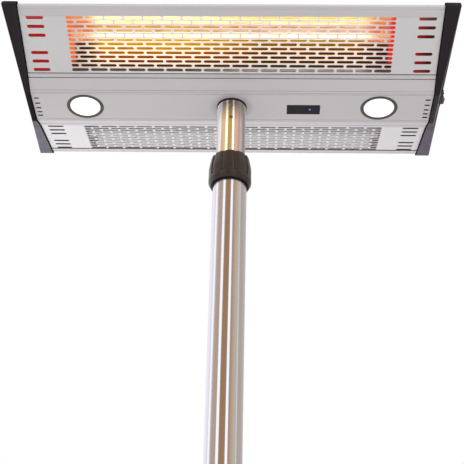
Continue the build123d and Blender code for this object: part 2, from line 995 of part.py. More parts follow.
def make_light_housing(x):
    inner = light_neck_radius + light_cup_room
    outer = inner + light_cup_wall
    top = spine_floor + light_cup_height
    points = [
        (inner, spine_floor),
        (outer, spine_floor),
        (outer, top),
        (0, top),
        (0, top - light_cup_wall),
        (inner, top - light_cup_wall),
    ]
    cup = turned(points)
    span = 2 * outer
    for index in range(light_fin_count):
        y = (index - (light_fin_count - 1) / 2) * span / (light_fin_count + 1)
        length = 2 * math.sqrt(outer**2 - y**2) - 2 * light_fin_inset
        cup += Pos(0, y, top + light_fin_height / 2) * Box(length, light_fin, light_fin_height)
    return Pos(x, 0, 0) * cup


# ---------------------------------------------------------------- display and electronics
def at_window(part):
    return Pos(window_x, window_y, underside) * part


def make_display_window():
    glass = Pos(0, 0, window_depth / 2) * Box(window_length, window_width, window_depth)
    hole = Pos(indicator_dx, 0, 0) * Cylinder(indicator_radius + snug, through)
    return at_window(glass - hole)


def make_status_indicator():
    pipe = Cylinder(indicator_radius, receiver_low)
    return at_window(Pos(indicator_dx, 0, receiver_low / 2) * pipe)


def make_receiver_board():
    width = window_width - 2 * receiver_margin
    pcb = Pos(0, 0, receiver_low + board / 2) * Box(window_length, width, board)
    foot = Box(receiver_foot_length, receiver_foot_width, receiver_stand)
    foot_x = (window_length - receiver_foot_length) / 2
    for side in (-1, 1):
        pcb += Pos(side * foot_x, 0, skin + receiver_stand / 2) * foot
    eye = Box(receiver_eye, receiver_eye, receiver_eye_height)
    pcb += Pos(-indicator_dx, 0, receiver_low - receiver_eye_height / 2) * eye
    return at_window(pcb)


def standoff_places():
    dx = board_length / 2 - standoff_inset
    dy = board_width / 2 - standoff_inset
    return [(board_x + x * dx, y * dy) for x in (-1, 1) for y in (-1, 1)]


def make_board_standoffs():
    post = Pos(0, 0, spine_floor) * extrude(RegularPolygon(standoff_radius, 6), standoff_height)
    return group([Pos(x, y, 0) * post for x, y in standoff_places()])


def make_control_board():
    low = spine_floor + standoff_height
    on_top = Pos(board_x, 0, low + board)
    pcb = Pos(board_x, 0, low + board / 2) * Box(board_length, board_width, board)
    pcb += on_top * Pos(*transformer_place, transformer_size[2] / 2) * Box(*transformer_size)
    for index in range(relay_count):
        place = Pos(index * relay_pitch, relay_y, relay_size[2] / 2)
        pcb += on_top * place * Box(*relay_size)
    can = Cylinder(capacitor_radius, capacitor_height)
    return pcb + on_top * Pos(*capacitor_place, capacitor_height / 2) * can


def make_terminal_block():
    length = terminal_count * terminal_pitch
    block = Pos(0, 0, terminal_height / 2) * Box(length, terminal_width, terminal_height)
    hole = Box(terminal_hole, terminal_hole, 2 * terminal_hole_depth)
    for place in GridLocations(terminal_pitch, 0, terminal_count, 1):
        block -= Pos(0, 0, terminal_height) * place * hole
    return Pos(terminal_x, 0, spine_floor) * block


def make_tilt_switch():
    case = Pos(0, 0, tilt_height / 2) * Box(tilt_size, tilt_size, tilt_height)
    dome = Cylinder(tilt_dome_radius, tilt_dome_height)
    return Pos(tilt_x, 0, spine_floor) * (case + Pos(0, 0, tilt_height + tilt_dome_height / 2) * dome)


# ---------------------------------------------------------------- all nodes
def build_all():
    rail = make_rail()
    grille = make_grille()
    reflector = make_reflector()
    lamp = make_lamp()
    filament = make_filament()
    holders = make_lamp_holders()
    return {
        "base_weight": make_base_weight(),
        "rubber_feet": make_rubber_feet(),
        "base_cover": make_base_cover(),
        "mast_flange": make_mast_flange(),
        "flange_bolts": make_flange_bolts(),
        "base_trim_ring": make_base_trim_ring(),
        "lower_tube": make_lower_tube(),
        "cable_gland": make_cable_gland(),
        "gland_nut": make_gland_nut(),
        "clamp_body": make_clamp_body(),
        "clamp_collet": make_clamp_collet(),
        "clamp_collar": make_clamp_collar(),
        "upper_tube": make_upper_tube(),
        "mast_screws": make_mast_screws(),
        "slide_guide": make_slide_guide(),
        "guide_stop_ring": make_guide_stop_ring(),
        "tube_end_plug": make_tube_end_plug(),
        "mast_gasket": make_mast_gasket(),
        "mast_socket": make_mast_socket(),
        "socket_bolts": make_socket_bolts(),
        "spine_panel": make_spine_panel(),
        "rear_rail": rail,
        "front_rail": to_front(rail),
        "rear_grille": grille,
        "front_grille": to_front(grille),
        "roof_panel": make_roof(),
        "roof_screws": make_roof_screws(),
        "left_end_cap": make_left_end_cap(),
        "right_end_cap": make_right_end_cap(),
        "switch_frame": make_switch_frame(),
        "switch_body": make_switch_body(),
        "power_rocker": make_power_rocker(),
        "rear_reflector": reflector,
        "front_reflector": to_front(reflector),
        "rear_lamp": lamp,
        "front_lamp": to_front(lamp),
        "rear_filament": filament,
        "front_filament": to_front(filament),
        "rear_lamp_holders": holders,
        "front_lamp_holders": to_front(holders),
        "left_light_bezel": make_light_bezel(-light_x),
        "right_light_bezel": make_light_bezel(light_x),
        "left_light_lens": make_light_lens(-light_x),
        "right_light_lens": make_light_lens(light_x),
        "left_light_board": make_light_board(-light_x),
        "right_light_board": make_light_board(light_x),
        "left_light_housing": make_light_housing(-light_x),
        "right_light_housing": make_light_housing(light_x),
        "display_window": make_display_window(),
        "status_indicator": make_status_indicator(),
        "receiver_board": make_receiver_board(),
        "board_standoffs": make_board_standoffs(),
        "control_board": make_control_board(),
        "terminal_block": make_terminal_block(),
        "tilt_switch": make_tilt_switch(),
    }


os.makedirs("parts", exist_ok=True)
for node_name, node_part in build_all().items():
    export_step(node_part, f"parts/{node_name}.step")
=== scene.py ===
import json
import math

import bmesh
import bpy
from mathutils import Matrix, Vector

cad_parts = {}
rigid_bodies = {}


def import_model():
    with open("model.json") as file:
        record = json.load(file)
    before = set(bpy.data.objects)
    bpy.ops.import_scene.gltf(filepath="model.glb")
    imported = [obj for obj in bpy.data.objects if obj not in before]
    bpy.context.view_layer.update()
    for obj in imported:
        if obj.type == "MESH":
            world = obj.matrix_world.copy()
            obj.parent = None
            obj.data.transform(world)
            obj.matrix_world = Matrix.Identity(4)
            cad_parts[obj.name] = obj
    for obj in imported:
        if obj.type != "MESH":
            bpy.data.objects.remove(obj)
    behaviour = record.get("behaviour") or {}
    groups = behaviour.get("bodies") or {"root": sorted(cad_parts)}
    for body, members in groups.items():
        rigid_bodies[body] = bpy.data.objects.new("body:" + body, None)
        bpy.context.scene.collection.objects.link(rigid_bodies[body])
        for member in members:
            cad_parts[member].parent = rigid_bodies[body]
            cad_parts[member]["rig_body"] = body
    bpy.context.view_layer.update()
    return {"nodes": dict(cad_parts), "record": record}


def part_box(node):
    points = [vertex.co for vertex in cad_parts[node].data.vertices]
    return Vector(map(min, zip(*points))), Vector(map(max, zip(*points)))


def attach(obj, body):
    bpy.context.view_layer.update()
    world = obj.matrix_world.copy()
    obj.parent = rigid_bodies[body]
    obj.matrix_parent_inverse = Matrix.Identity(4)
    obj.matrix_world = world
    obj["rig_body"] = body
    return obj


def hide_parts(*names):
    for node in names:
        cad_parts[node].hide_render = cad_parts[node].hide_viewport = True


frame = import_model()
nodes = frame["nodes"]
record = frame["record"]
body_of_node = {
    node: body for body, members in record["behaviour"]["bodies"].items() for node in members
}

# Metres and radians. The frame is the CAD model's: +Z up the mast, -Y towards the lit wing.
MM = 0.001

# ---------------------------------------------------------------- sizes
weld = 1e-7
running_gap = 0.3 * MM
tube_wall = 1.5 * MM
wing_angle = math.radians(14.8)
plate = 1.0 * MM
plate_edge = 0.2 * MM
plate_margin = 1.0 * MM
edge_lip = 1.5 * MM
slot_collar = 0.8 * MM
slot_collar_wall = 0.5 * MM
row_count = 13
row_pitch = 10.35 * MM
first_row = 8.7 * MM
last_row = first_row + (row_count - 1) * row_pitch
column_count = 17
column_pitch = 38.6 * MM
slot_length = 35.0 * MM
slot_width = 7.5 * MM
side_slot_length = 35.0 * MM
side_slot_centre = 388.0 * MM
seam_middle, seam_half = 77.4 * MM, 0.6 * MM
line_offsets = (41.8 * MM, 46.6 * MM, 51.3 * MM)
line_half = 0.45 * MM
vents_from, vents_half = 402.0 * MM, 36.0 * MM
mast_shade_in, mast_shade_out = 30.0 * MM, 48.0 * MM
flute_count = 10
flute_width = 7.0 * MM
flute_depth = 2.0 * MM
flute_low = 15.7 * MM
coil_pitch = 4.0 * MM
coil_wire = 0.45 * MM
roof_angle = math.radians(15.3)
roof_screw_count = 5

wing_low, wing_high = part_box("rear_grille")
root_y = wing_low.y + plate * math.sin(wing_angle) - plate_margin * math.cos(wing_angle)
root_z = wing_low.z - plate_margin * math.sin(wing_angle)
plate_width = (wing_high.y - root_y) / math.cos(wing_angle) + plate_margin


# ---------------------------------------------------------------- colours
def grey(level):
    return (level, level, level)


def shaded(colour, factor):
    return tuple(min(channel * factor, 1.0) for channel in colour)


BLACK = grey(0.0)
WHITE = grey(1.0)
silver = (0.64, 0.61, 0.625)


# ---------------------------------------------------------------- material building blocks
class Surface:
    """A node material: a Principled shader, and the helpers that give it its detail."""

    def __init__(self, name, **sockets):
        self.material = bpy.data.materials.new(name)
        self.material.use_nodes = True
        self.tree = self.material.node_tree
        self.shader = self.tree.nodes["Principled BSDF"]
        self.place = self.add("ShaderNodeTexCoord").outputs["Object"]
        self.give(**sockets)

    def add(self, kind, inputs=None, **settings):
        """A node with its settings, and what feeds its inputs."""
        node = self.tree.nodes.new(kind)
        for setting, value in settings.items():
            setattr(node, setting, value)
        for socket, source in (inputs or {}).items():
            self.feed(node.inputs[socket], source)
        return node

    def feed(self, socket, source):
        """Links a socket, or sets a number or colour on it."""
        if isinstance(source, bpy.types.NodeSocket):
            self.tree.links.new(source, socket)
        else:
            socket.default_value = (*source, 1.0) if socket.type == "RGBA" else source

    def give(self, **sockets):
        """Feeds the shader's own sockets."""
        for socket, source in sockets.items():
            self.feed(self.shader.inputs[socket.replace("_", " ")], source)

    def noise(self, scale, detail=3.0, roughness=0.5):
        """Noise over the object's own place, in cycles per metre, even or on each axis."""
        scale = scale if isinstance(scale, tuple) else grey(scale)
        spot = self.add("ShaderNodeMapping", {"Vector": self.place, "Scale": scale}).outputs[0]
        inputs = {"Vector": spot, "Scale": 1.0, "Detail": detail, "Roughness": roughness}
        return self.add("ShaderNodeTexNoise", inputs).outputs["Fac"]

    def maths(self, operation, *sources, clamp=False):
        inputs = dict(enumerate(sources))
        return self.add("ShaderNodeMath", inputs, operation=operation, use_clamp=clamp).outputs[0]

    def times(self, one, other):
        return self.maths("MULTIPLY", one, other)

    def part_of(self, vector, name):
        return self.add("ShaderNodeSeparateXYZ", {0: vector}).outputs[name]

    def axis(self, name):
        """One coordinate of the object's own place, in metres."""
        return self.part_of(self.place, name)

    def reach(self, name):
        """Distance from the middle plane along one axis."""
        return self.maths("ABSOLUTE", self.axis(name))

    def facing_up(self):
        """Height part of the face's own direction, from -1 to 1."""
        return self.part_of(self.add("ShaderNodeNewGeometry").outputs["True Normal"], "Z")

    def spread(self, source, low, high, to_low=0.0, to_high=1.0):
        """Maps a range of a number to another range, and holds it there."""
        inputs = dict(enumerate((source, low, high, to_low, to_high)))
        return self.add("ShaderNodeMapRange", inputs, clamp=True).outputs[0]

    def past(self, source, limit, width):
        """0 up to a limit, and 1 from a width beyond it."""
        return self.spread(source, limit, limit + width)

    def falling(self, source, low, high):
        """1 up to the low value, and 0 from the high one."""
        return self.spread(source, low, high, 1.0, 0.0)

    def ramp(self, source, stops):
        """A colour ramp from (position, colour) stops."""
        node = self.add("ShaderNodeValToRGB", {"Fac": source})
        elements = node.color_ramp.elements
        while len(elements) < len(stops):
            elements.new(0.5)
        for element, (position, colour) in zip(elements, stops):
            element.position = position
            element.color = (*colour, 1.0)
        return node.outputs["Color"]

    def round_about(self, stops):
        """Colours by compass angle in degrees, from the camera's side towards +X."""
        azimuth = self.maths("ARCTAN2", self.axis("X"), self.times(self.axis("Y"), -1.0))
        share = self.spread(azimuth, -math.pi, math.pi)
        return self.ramp(share, [((degrees + 180.0) / 360.0, colour) for degrees, colour in stops])

    def blend(self, source, low, high, mode="MIX"):
        """Mixes two colours by a number."""
        inputs = {"Factor": source, 6: low, 7: high}
        return self.add("ShaderNodeMix", inputs, data_type="RGBA", blend_type=mode).outputs[2]

    def tinted(self, colour, tint):
        return self.blend(1.0, colour, tint, "MULTIPLY")

    def toned(self, pattern, colour, dark, light):
        """A colour that a pattern makes darker and lighter, by these factors."""
        return self.blend(pattern, shaded(colour, dark), shaded(colour, light))

    def paint(self, source):
        self.give(Base_Color=source)

    def polish(self, source, smooth, rough):
        """Roughness that follows a pattern."""
        self.give(Roughness=self.spread(source, 0.3, 0.7, smooth, rough))

    def emboss(self, height, depth, strength):
        """A bump from a pattern, as deep as the given size."""
        inputs = {"Strength": strength, "Distance": depth, "Height": height}
        self.give(Normal=self.add("ShaderNodeBump", inputs).outputs["Normal"])

    def shine(self, colour, strength=1.0):
        self.give(Emission_Color=colour, Emission_Strength=strength)


# ---------------------------------------------------------------- finishes
def anodised(name):
    """Extruded aluminium: drawing lines along X, faint clouds and a satin anodised skin."""
    skin = Surface(name, Metallic=0.35)
    lines = skin.noise((1.5, 900.0, 900.0), detail=4.0, roughness=0.6)
    skin.polish(lines, 0.42, 0.54)
    skin.emboss(lines, 0.02 * MM, 0.35)
    clouds = skin.spread(skin.noise((5.0, 14.0, 14.0), detail=2.0), 0.35, 0.65)
    tone = skin.toned(lines, silver, 0.93, 1.05)
    return skin, skin.blend(clouds, tone, shaded(silver, 0.97))


def edge_shade(skin, tone, edge_at, inward, colour):
    """Shade over the grille, from an edge at a distance from the root line."""
    along, lift = wing_coordinates(skin, "ABSOLUTE")
    toward = skin.times(skin.maths("SUBTRACT", along, edge_at), inward)
    wall = skin.times(
        skin.past(toward, -0.7 * MM, 0.3 * MM),
        skin.spread(lift, -0.99 * edge_lip, -0.9 * edge_lip),
    )
    return skin.blend(wall, tone, colour)


def groove_shade(skin, tone, middle, half_width, depth):
    """Shade in a groove along X, on both sides of the middle."""
    inside = skin.maths("ABSOLUTE", skin.maths("SUBTRACT", skin.reach("Y"), middle))
    groove = skin.spread(inside, half_width, half_width + 0.1 * MM, depth, 0.0)
    return skin.blend(groove, tone, (0.02, 0.016, 0.016))


def vent_shade(skin, tone):
    """Shade on the walls of the vents near both ends of the spine."""
    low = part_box("spine_panel")[0].z
    vents = skin.times(
        skin.past(skin.reach("X"), vents_from, MM),
        skin.falling(skin.reach("Y"), vents_half, vents_half + MM),
    )
    walls = skin.past(skin.axis("Z"), low + 0.2 * MM, 0.3 * MM)
    return skin.blend(skin.times(vents, walls), tone, grey(0.008))


def mast_shade(skin, tone):
    """Soft shade round the mast."""
    inputs = {0: skin.place, 1: (1.0, 1.0, 0.0)}
    flat = skin.add("ShaderNodeVectorMath", inputs, operation="MULTIPLY").outputs[0]
    distance = skin.add("ShaderNodeVectorMath", {0: flat}, operation="LENGTH").outputs["Value"]
    shade = skin.spread(distance, mast_shade_in, mast_shade_out, 0.3, 0.0)
    return skin.blend(shade, tone, grey(0.05))


def spine_aluminium(name):
    skin, tone = anodised(name)
    tone = edge_shade(skin, tone, 0.0, 1.0, (0.05, 0.03, 0.02))
    tone = groove_shade(skin, tone, seam_middle, seam_half, 1.0)
    for offset in line_offsets:
        tone = groove_shade(skin, tone, offset, line_half, 0.45)
    skin.paint(mast_shade(skin, vent_shade(skin, tone)))
    return skin.material


def rail_aluminium(name):
    skin, tone = anodised(name)
    skin.paint(edge_shade(skin, tone, plate_width, -1.0, (0.006, 0.004, 0.006)))
    return skin.material


def sprayed(skin, colour, depth):
    """Gives a skin powder coat's fine orange peel, and returns its uneven colour."""
    peel = skin.noise(1400.0, detail=2.0)
    skin.polish(peel, 0.42, 0.55)
    skin.emboss(peel, depth, 0.4)
    return skin.toned(skin.noise(8.0), colour, 0.96, 1.03)


def powder_coat(name, colour):
    skin = Surface(name)
    skin.paint(sprayed(skin, colour, 0.04 * MM))
    return skin.material


def roof_coat(name, colour):
    """Powder coat outside. The inner face, which the vents show, is painted near black as shade."""
    skin = Surface(name, Metallic=0.3)
    up = skin.spread(skin.facing_up(), -0.1, 0.1)
    # Painted shade: faces that look down are near black.
    skin.paint(skin.blend(up, grey(0.004), sprayed(skin, colour, 0.04 * MM)))
    return skin.material


def grained(skin, colour, rough):
    """Gives a skin a fine spark-eroded grain, and returns its colour with handling marks."""
    marks = skin.noise(35.0, detail=5.0, roughness=0.65)
    skin.polish(marks, *rough)
    skin.emboss(skin.noise(2200.0, roughness=0.6), 0.03 * MM, 0.5)
    return skin.toned(marks, colour, 0.85, 1.2)


def moulded(name, colour, rough=(0.3, 0.45), specular=0.5):
    """Injection-moulded plastic."""
    skin = Surface(name, Specular_IOR_Level=specular)
    skin.paint(grained(skin, colour, rough))
    return skin.material


def cap_plastic(name, colour, sheen):
    """Moulded plastic that stands in shade up to a line beside its seam with the hull.

    Past that line its rear underside has a painted violet reflection."""
    skin = Surface(name, Specular_Tint=sheen)
    tone = grained(skin, colour, (0.3, 0.45))
    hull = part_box("spine_panel")[1].x
    clear = skin.past(skin.reach("X"), hull + 1.4 * MM, 0.6 * MM)
    # Painted violet reflection on the rear underside, away from the seam.
    rear = skin.times(clear, skin.past(skin.axis("Y"), 85.0 * MM, 20.0 * MM))
    rear = skin.times(rear, skin.falling(skin.facing_up(), -0.8, -0.6))
    skin.paint(skin.blend(rear, tone, (0.050, 0.036, 0.070)))
    # Painted shade along the seam: no specular there.
    skin.give(Specular_IOR_Level=skin.times(clear, 0.27))
    return skin.material


def ground_lines(skin, scale, rough):
    """Ground metal's fine lines. The scale gives their direction: few cycles along them."""
    lines = skin.noise(scale, detail=4.0, roughness=0.6)
    skin.polish(lines, *rough)
    skin.emboss(lines, 0.01 * MM, 0.25)
    return lines


def brushed(name, colour, scale, rough=(0.2, 0.34), **sockets):
    skin = Surface(name, **{"Metallic": 1.0, **sockets})
    tone = skin.toned(ground_lines(skin, scale, rough), colour, 0.88, 1.08)
    clouds = skin.noise(9.0, detail=2.0)
    skin.paint(skin.blend(clouds, tone, shaded(colour, 0.96)))
    return skin.material


def steel_with_painted_reflections(name, tints, painted_head_shade, scale, rough, **sockets):
    """Ground steel, with painted reflections of the glow and the studio by compass angle, and
    painted shade next to the head.
    """
    skin = Surface(name, Metallic=1.0, **sockets)
    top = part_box("upper_tube")[1].z
    below = skin.falling(skin.axis("Z"), top - 58.0 * MM, top - 10.0 * MM)
    # Painted reflections by compass angle, and painted shade next to the head.
    tint = skin.blend(below, painted_head_shade, skin.round_about(tints))
    lines = ground_lines(skin, scale, rough)
    skin.paint(skin.tinted(tint, skin.blend(lines, grey(0.92), grey(1.04))))
    return skin.material


def speckled(name, colour, tones, pattern, rough, depth, strength, **sockets):
    """A material whose colour, roughness and bump follow one fine pattern."""
    skin = Surface(name, **sockets)
    specks = skin.noise(*pattern)
    skin.paint(skin.toned(specks, colour, *tones))
    skin.polish(specks, *rough)
    skin.emboss(specks, depth, strength)
    return skin.material


def rough_casting(name, colour):
    sand, rough = (600.0, 5.0, 0.7), (0.5, 0.75)
    return speckled(name, colour, (0.75, 1.3), sand, rough, 0.25 * MM, 0.6, Metallic=0.3)


def glazed_ceramic(name, colour):
    specks, rough = (900.0, 4.0, 0.7), (0.45, 0.65)
    return speckled(name, colour, (0.9, 1.05), specks, rough, 0.05 * MM, 0.4)


def soft_rubber(name, colour):
    skin = Surface(name, Specular_IOR_Level=0.1)
    dust = skin.noise(120.0, detail=5.0, roughness=0.7)
    skin.paint(skin.toned(dust, colour, 1.0, 2.0))
    skin.polish(dust, 0.6, 0.85)
    skin.emboss(skin.noise(1500.0), 0.05 * MM, 0.5)
    return skin.material


def circuit_board(name, colour):
    """Solder resist with faint copper tracks under it."""
    skin = Surface(name)
    tracks = {"Vector": skin.place, "Scale": 60.0}
    for socket, factor in (("Color1", 0.9), ("Color2", 1.0), ("Mortar", 1.7)):
        tracks[socket] = shaded(colour, factor)
    skin.paint(skin.add("ShaderNodeTexBrick", tracks).outputs["Color"])
    skin.polish(skin.noise(200.0), 0.25, 0.4)
    return skin.material


def black_window(name):
    """Smoked acrylic over the receiver."""
    skin = Surface(name, Specular_IOR_Level=0.14)
    haze = skin.noise(60.0, detail=4.0)
    skin.paint(skin.blend(haze, (0.010, 0.010, 0.014), (0.022, 0.021, 0.028)))
    skin.polish(haze, 0.12, 0.22)
    return skin.material


def lit_lens(name):
    """Frosted lens over a lit board, with a dark line where its rim meets the bezel."""
    skin = Surface(name, Roughness=0.35)
    frost = skin.noise(1800.0, detail=2.0)
    skin.paint((0.92, 0.93, 0.92))
    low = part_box("left_light_lens")[0].z
    rim = skin.past(skin.axis("Z"), low + 0.57 * MM, 0.07 * MM)
    glow = skin.blend(frost, (1.0, 1.0, 0.98), (1.0, 0.99, 0.95))
    skin.shine(skin.blend(rim, glow, (0.12, 0.11, 0.08)))
    skin.emboss(frost, 0.05 * MM, 0.5)
    return skin.material


def lit_indicator(name):
    skin = Surface(name, Roughness=0.2)
    skin.paint((0.12, 0.14, 0.8))
    core = skin.blend(skin.noise(700.0), (0.10, 0.10, 1.0), (0.30, 0.28, 1.0))
    skin.shine(core, 1.6)
    return skin.material


# ---------------------------------------------------------------- mesh building blocks
def new_object(name, data):
    made = bpy.data.objects.new(name, data)
    bpy.context.scene.collection.objects.link(made)
    return made


def finished(piece, material, smooth_angle=35.0):
    piece.data.materials.clear()
    piece.data.materials.append(material)
    piece.data.shade_smooth()
    piece.data.set_sharp_from_angle(angle=math.radians(smooth_angle))
    return piece


def piece_from(name, vertices, faces, material, smooth_angle=35.0):
    """A closed mesh object with clean joins and smooth shading up to an angle."""
    mesh = bpy.data.meshes.new(name)
    mesh.from_pydata(vertices, [], faces)
    shape = bmesh.new()
    shape.from_mesh(mesh)
    bmesh.ops.remove_doubles(shape, verts=shape.verts, dist=weld)
    bmesh.ops.dissolve_degenerate(shape, edges=shape.edges, dist=weld)
    bmesh.ops.recalc_face_normals(shape, faces=shape.faces)
    shape.to_mesh(mesh)
    shape.free()
    return finished(new_object(name, mesh), material, smooth_angle)


def stand_for(piece, node):
    """The piece rides on the body of the node that it replaces."""
    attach(piece, body_of_node[node])
    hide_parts(node)


def softened(node, width, material):
    """A copy of a node's mesh with its sharp edges rounded, in the node's place."""
    shape = bmesh.new()
    shape.from_mesh(nodes[node].data)
    bmesh.ops.remove_doubles(shape, verts=shape.verts, dist=weld)
    bmesh.ops.dissolve_limit(
        shape, angle_limit=math.radians(1.0), verts=shape.verts, edges=shape.edges
    )
    sharp = [
        edge for edge in shape.edges
        if edge.is_manifold and edge.calc_face_angle() > math.radians(20.0)
    ]
    bmesh.ops.bevel(
        shape, geom=sharp, offset=width, segments=3, profile=0.5, affect="EDGES",
        clamp_overlap=True,
    )
    mesh = bpy.data.meshes.new("softened_" + node)
    shape.to_mesh(mesh)
    shape.free()
    stand_for(finished(new_object("softened_" + node, mesh), material, 50.0), node)


def mesh_of(curve):
    """The mesh that a curve makes."""
    drawn = new_object(curve.name, curve)
    bpy.context.view_layer.update()
    mesh = bpy.data.meshes.new_from_object(drawn)
    bpy.data.objects.remove(drawn)
    return mesh


def add_spline(curve, points, closed=False):
    spline = curve.splines.new("POLY")
    spline.points.add(len(points) - 1)
    for point, place in zip(spline.points, points):
        point.co = (*place, 1.0)
    spline.use_cyclic_u = closed


def rounded(profile, radius):
    """Rounds each corner of a closed (r, z) outline with an arc, where its sides leave room."""
    points = []
    count, steps = len(profile), 3
    for index, corner in enumerate(profile):
        corner = Vector(corner)
        before = Vector(profile[index - 1]) - corner
        after = Vector(profile[(index + 1) % count]) - corner
        reach = min(radius, before.length * 0.45, after.length * 0.45)
        if corner.x == 0.0:
            reach = 0.0
        start = corner + before.normalized() * reach
        end = corner + after.normalized() * reach
        for step in range(steps + 1):
            t = step / steps
            points.append(start.lerp(corner, t).lerp(corner.lerp(end, t), t))
    return points


def turned(profile, segments, shape=None, matrix=None):
    """Vertices and faces of a closed (r, z) outline turned about Z, and then moved.

    The shape, where given, takes an angle, a radius and a height, and returns the radius."""
    vertices = []
    for index in range(segments):
        angle = math.tau * index / segments
        for radius, height in profile:
            if shape:
                radius = shape(angle, radius, height)
            vertices.append(Vector((radius * math.cos(angle), radius * math.sin(angle), height)))
    if matrix:
        vertices = [matrix @ vertex for vertex in vertices]
    return vertices, ring_faces(segments, len(profile))


def ring_faces(rings, count):
    """Faces between neighbouring rings of as many vertices each, closed both ways."""
    faces = []
    for ring in range(rings):
        here, there = ring * count, (ring + 1) % rings * count
        for index in range(count):
            after = (index + 1) % count
            faces.append((here + index, there + index, there + after, here + after))
    return faces


def turned_piece(node, name, profile, material, segments=128, smooth_angle=35.0, **how):
    """A turned piece that stands for a node."""
    vertices, faces = turned(profile, segments, **how)
    stand_for(piece_from(name, vertices, faces, material, smooth_angle), node)


def joined(shapes):
    """Several sets of vertices and faces as one."""
    vertices, faces = [], []
    for points, sides in shapes:
        start = len(vertices)
        vertices += points
        faces += [tuple(start + corner for corner in side) for side in sides]
    return vertices, faces


def shift(x=0.0, y=0.0, z=0.0):
    return Matrix.Translation((x, y, z))


def turn_about(axis, angle):
    return Matrix.Rotation(angle, 4, axis)


def smooth_step(low, high, value):
    share = min(max((value - low) / (high - low), 0.0), 1.0)
    return share * share * (3.0 - 2.0 * share)


def hexagon(radius):
    """Radius by angle of a regular hexagon, from that of the circle inside it."""
    def shape(angle):
        sixth = math.tau / 6
        return radius / math.cos((angle + sixth / 2) % sixth - sixth / 2)
    return shape


# ---------------------------------------------------------------- grilles
def slot_places():
    """Centres and lengths of the brick pattern, as (x, distance from the root line, length)."""
    rib = column_pitch - slot_length
    half_slot = (slot_length - rib) / 2
    places = []
    for row in range(row_count):
        along = first_row + row * row_pitch
        short = row % 2
        for column in range(column_count - short):
            x = (column - (column_count - 1 - short) / 2) * column_pitch
            places.append((x, along, slot_length))
        if short:
            edge = (column_count - 1) / 2 * column_pitch + slot_length / 2 - half_slot / 2
            places += [(-edge, along, half_slot), (edge, along, half_slot)]
        elif row != row_count // 2:
            places += [(side * side_slot_centre, along, side_slot_length) for side in (-1, 1)]
    return places


def slot_loop(x, along, length, grow=0.0):
    """A slot with round ends, drawn anticlockwise."""
    reach = (length - slot_width) / 2
    radius = slot_width / 2 + grow
    steps = 6
    points = []
    for side, start in ((1, -math.pi / 2), (-1, math.pi / 2)):
        for step in range(steps + 1):
            angle = start + math.pi * step / steps
            points.append(
                (x + side * reach + radius * math.cos(angle), along + radius * math.sin(angle))
            )
    return points


def onto_wing(turn):
    return turn_about("Z", turn) @ shift(y=root_y, z=root_z) @ turn_about("X", wing_angle)


def make_grille(node, turn, material):
    """Pressed plate with round-ended slots and softened edges, in the node's place."""
    half = wing_high.x
    start, end = plate_margin, plate_width - plate_margin
    curve = bpy.data.curves.new(node + "_outline", "CURVE")
    curve.dimensions = "2D"
    curve.fill_mode = "BOTH"
    curve.extrude = plate / 2 - plate_edge
    curve.bevel_depth = plate_edge
    curve.bevel_resolution = 1
    curve.offset = -plate_edge
    loops = [[(-half, start), (half, start), (half, end), (-half, end)]]
    loops += [slot_loop(*slot) for slot in slot_places()]
    for loop in loops:
        add_spline(curve, [(x, along, 0.0) for x, along in loop], closed=True)
    mesh = mesh_of(curve)
    mesh.transform(onto_wing(turn) @ shift(z=plate / 2))
    stand_for(finished(new_object("slotted_" + node, mesh), material, 40.0), node)


def make_slot_edges(node, turn, material):
    """The drawn edge of every slot: a thin wall that stands up inside the plate."""
    shapes = []
    top = plate + slot_collar
    for slot in slot_places():
        inner = slot_loop(*slot, -slot_collar_wall / 4)
        outer = slot_loop(*slot, slot_collar_wall)
        rings = ((inner, plate_edge), (outer, plate_edge), (outer, top), (inner, top))
        points = [onto_wing(turn) @ Vector((*at, height)) for ring, height in rings for at in ring]
        shapes.append((points, ring_faces(len(rings), len(inner))))
    edges = piece_from("slot_edges_" + node, *joined(shapes), material, 40.0)
    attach(edges, body_of_node[node])


# ---------------------------------------------------------------- the heater's glow
# Emission by row of slots, from the spine to the rim: on the left and the right half of the
# lit wing, past the lamp's ends, on the slots' edges, and on the ribs between the slots. These,
# studio_tones and painted_reflection_tints were set by comparing renders with the photograph.
# Apart from the lamp's own glow, these are painted light: painted reflections of the lamp in the
# trough, and painted light on the slots' edges and the ribs.
glow_left = (
    (0.08, 0.07, 0.06), (0.06, 0.006, 0.002), (0.13, 0.012, 0.002), (0.27, 0.046, 0.003),
    (0.4, 0.105, 0.004), (0.62, 0.25, 0.006), (0.7, 0.33, 0.006), (0.7, 0.38, 0.008),
    (1.9, 1.8, 1.2), (0.84, 0.6, 0.25), (0.66, 0.34, 0.045), (1.5, 1.35, 0.8), (1.5, 1.35, 0.7),
)
glow_right = (
    (0.34, 0.32, 0.31), (0.008, 0.003, 0.001), (0.02, 0.004, 0.001), (0.04, 0.006, 0.001),
    (0.07, 0.012, 0.001), (0.14, 0.045, 0.003), (0.19, 0.085, 0.006), (0.34, 0.18, 0.015),
    (1.9, 1.8, 1.4), (0.86, 0.6, 0.46), (0.72, 0.4, 0.27), (1.3, 1.15, 0.7), (1.05, 0.88, 0.24),
)
glow_ends = (
    (0.06, 0.05, 0.05), (0.01, 0.004, 0.003), (0.006, 0.004, 0.003), (0.006, 0.004, 0.003),
    (0.006, 0.004, 0.003), (0.01, 0.005, 0.003), (0.015, 0.006, 0.004), (0.7, 0.2, 0.08),
    (0.85, 0.35, 0.1), (0.72, 0.2, 0.08), (0.65, 0.12, 0.05), (0.8, 0.22, 0.07), (0.8, 0.25, 0.08),
)
glow_walls = (
    (0.1, 0.09, 0.08), (0.8, 0.64, 0.34), (1.0, 0.74, 0.3), (1.05, 0.78, 0.28),
    (1.15, 0.86, 0.28), (1.2, 0.92, 0.28), (1.2, 0.9, 0.23), (1.15, 0.85, 0.22),
    (1.3, 1.15, 0.8), (1.1, 0.8, 0.45), (0.9, 0.5, 0.15), (1.2, 0.95, 0.3), (1.2, 0.9, 0.25),
)
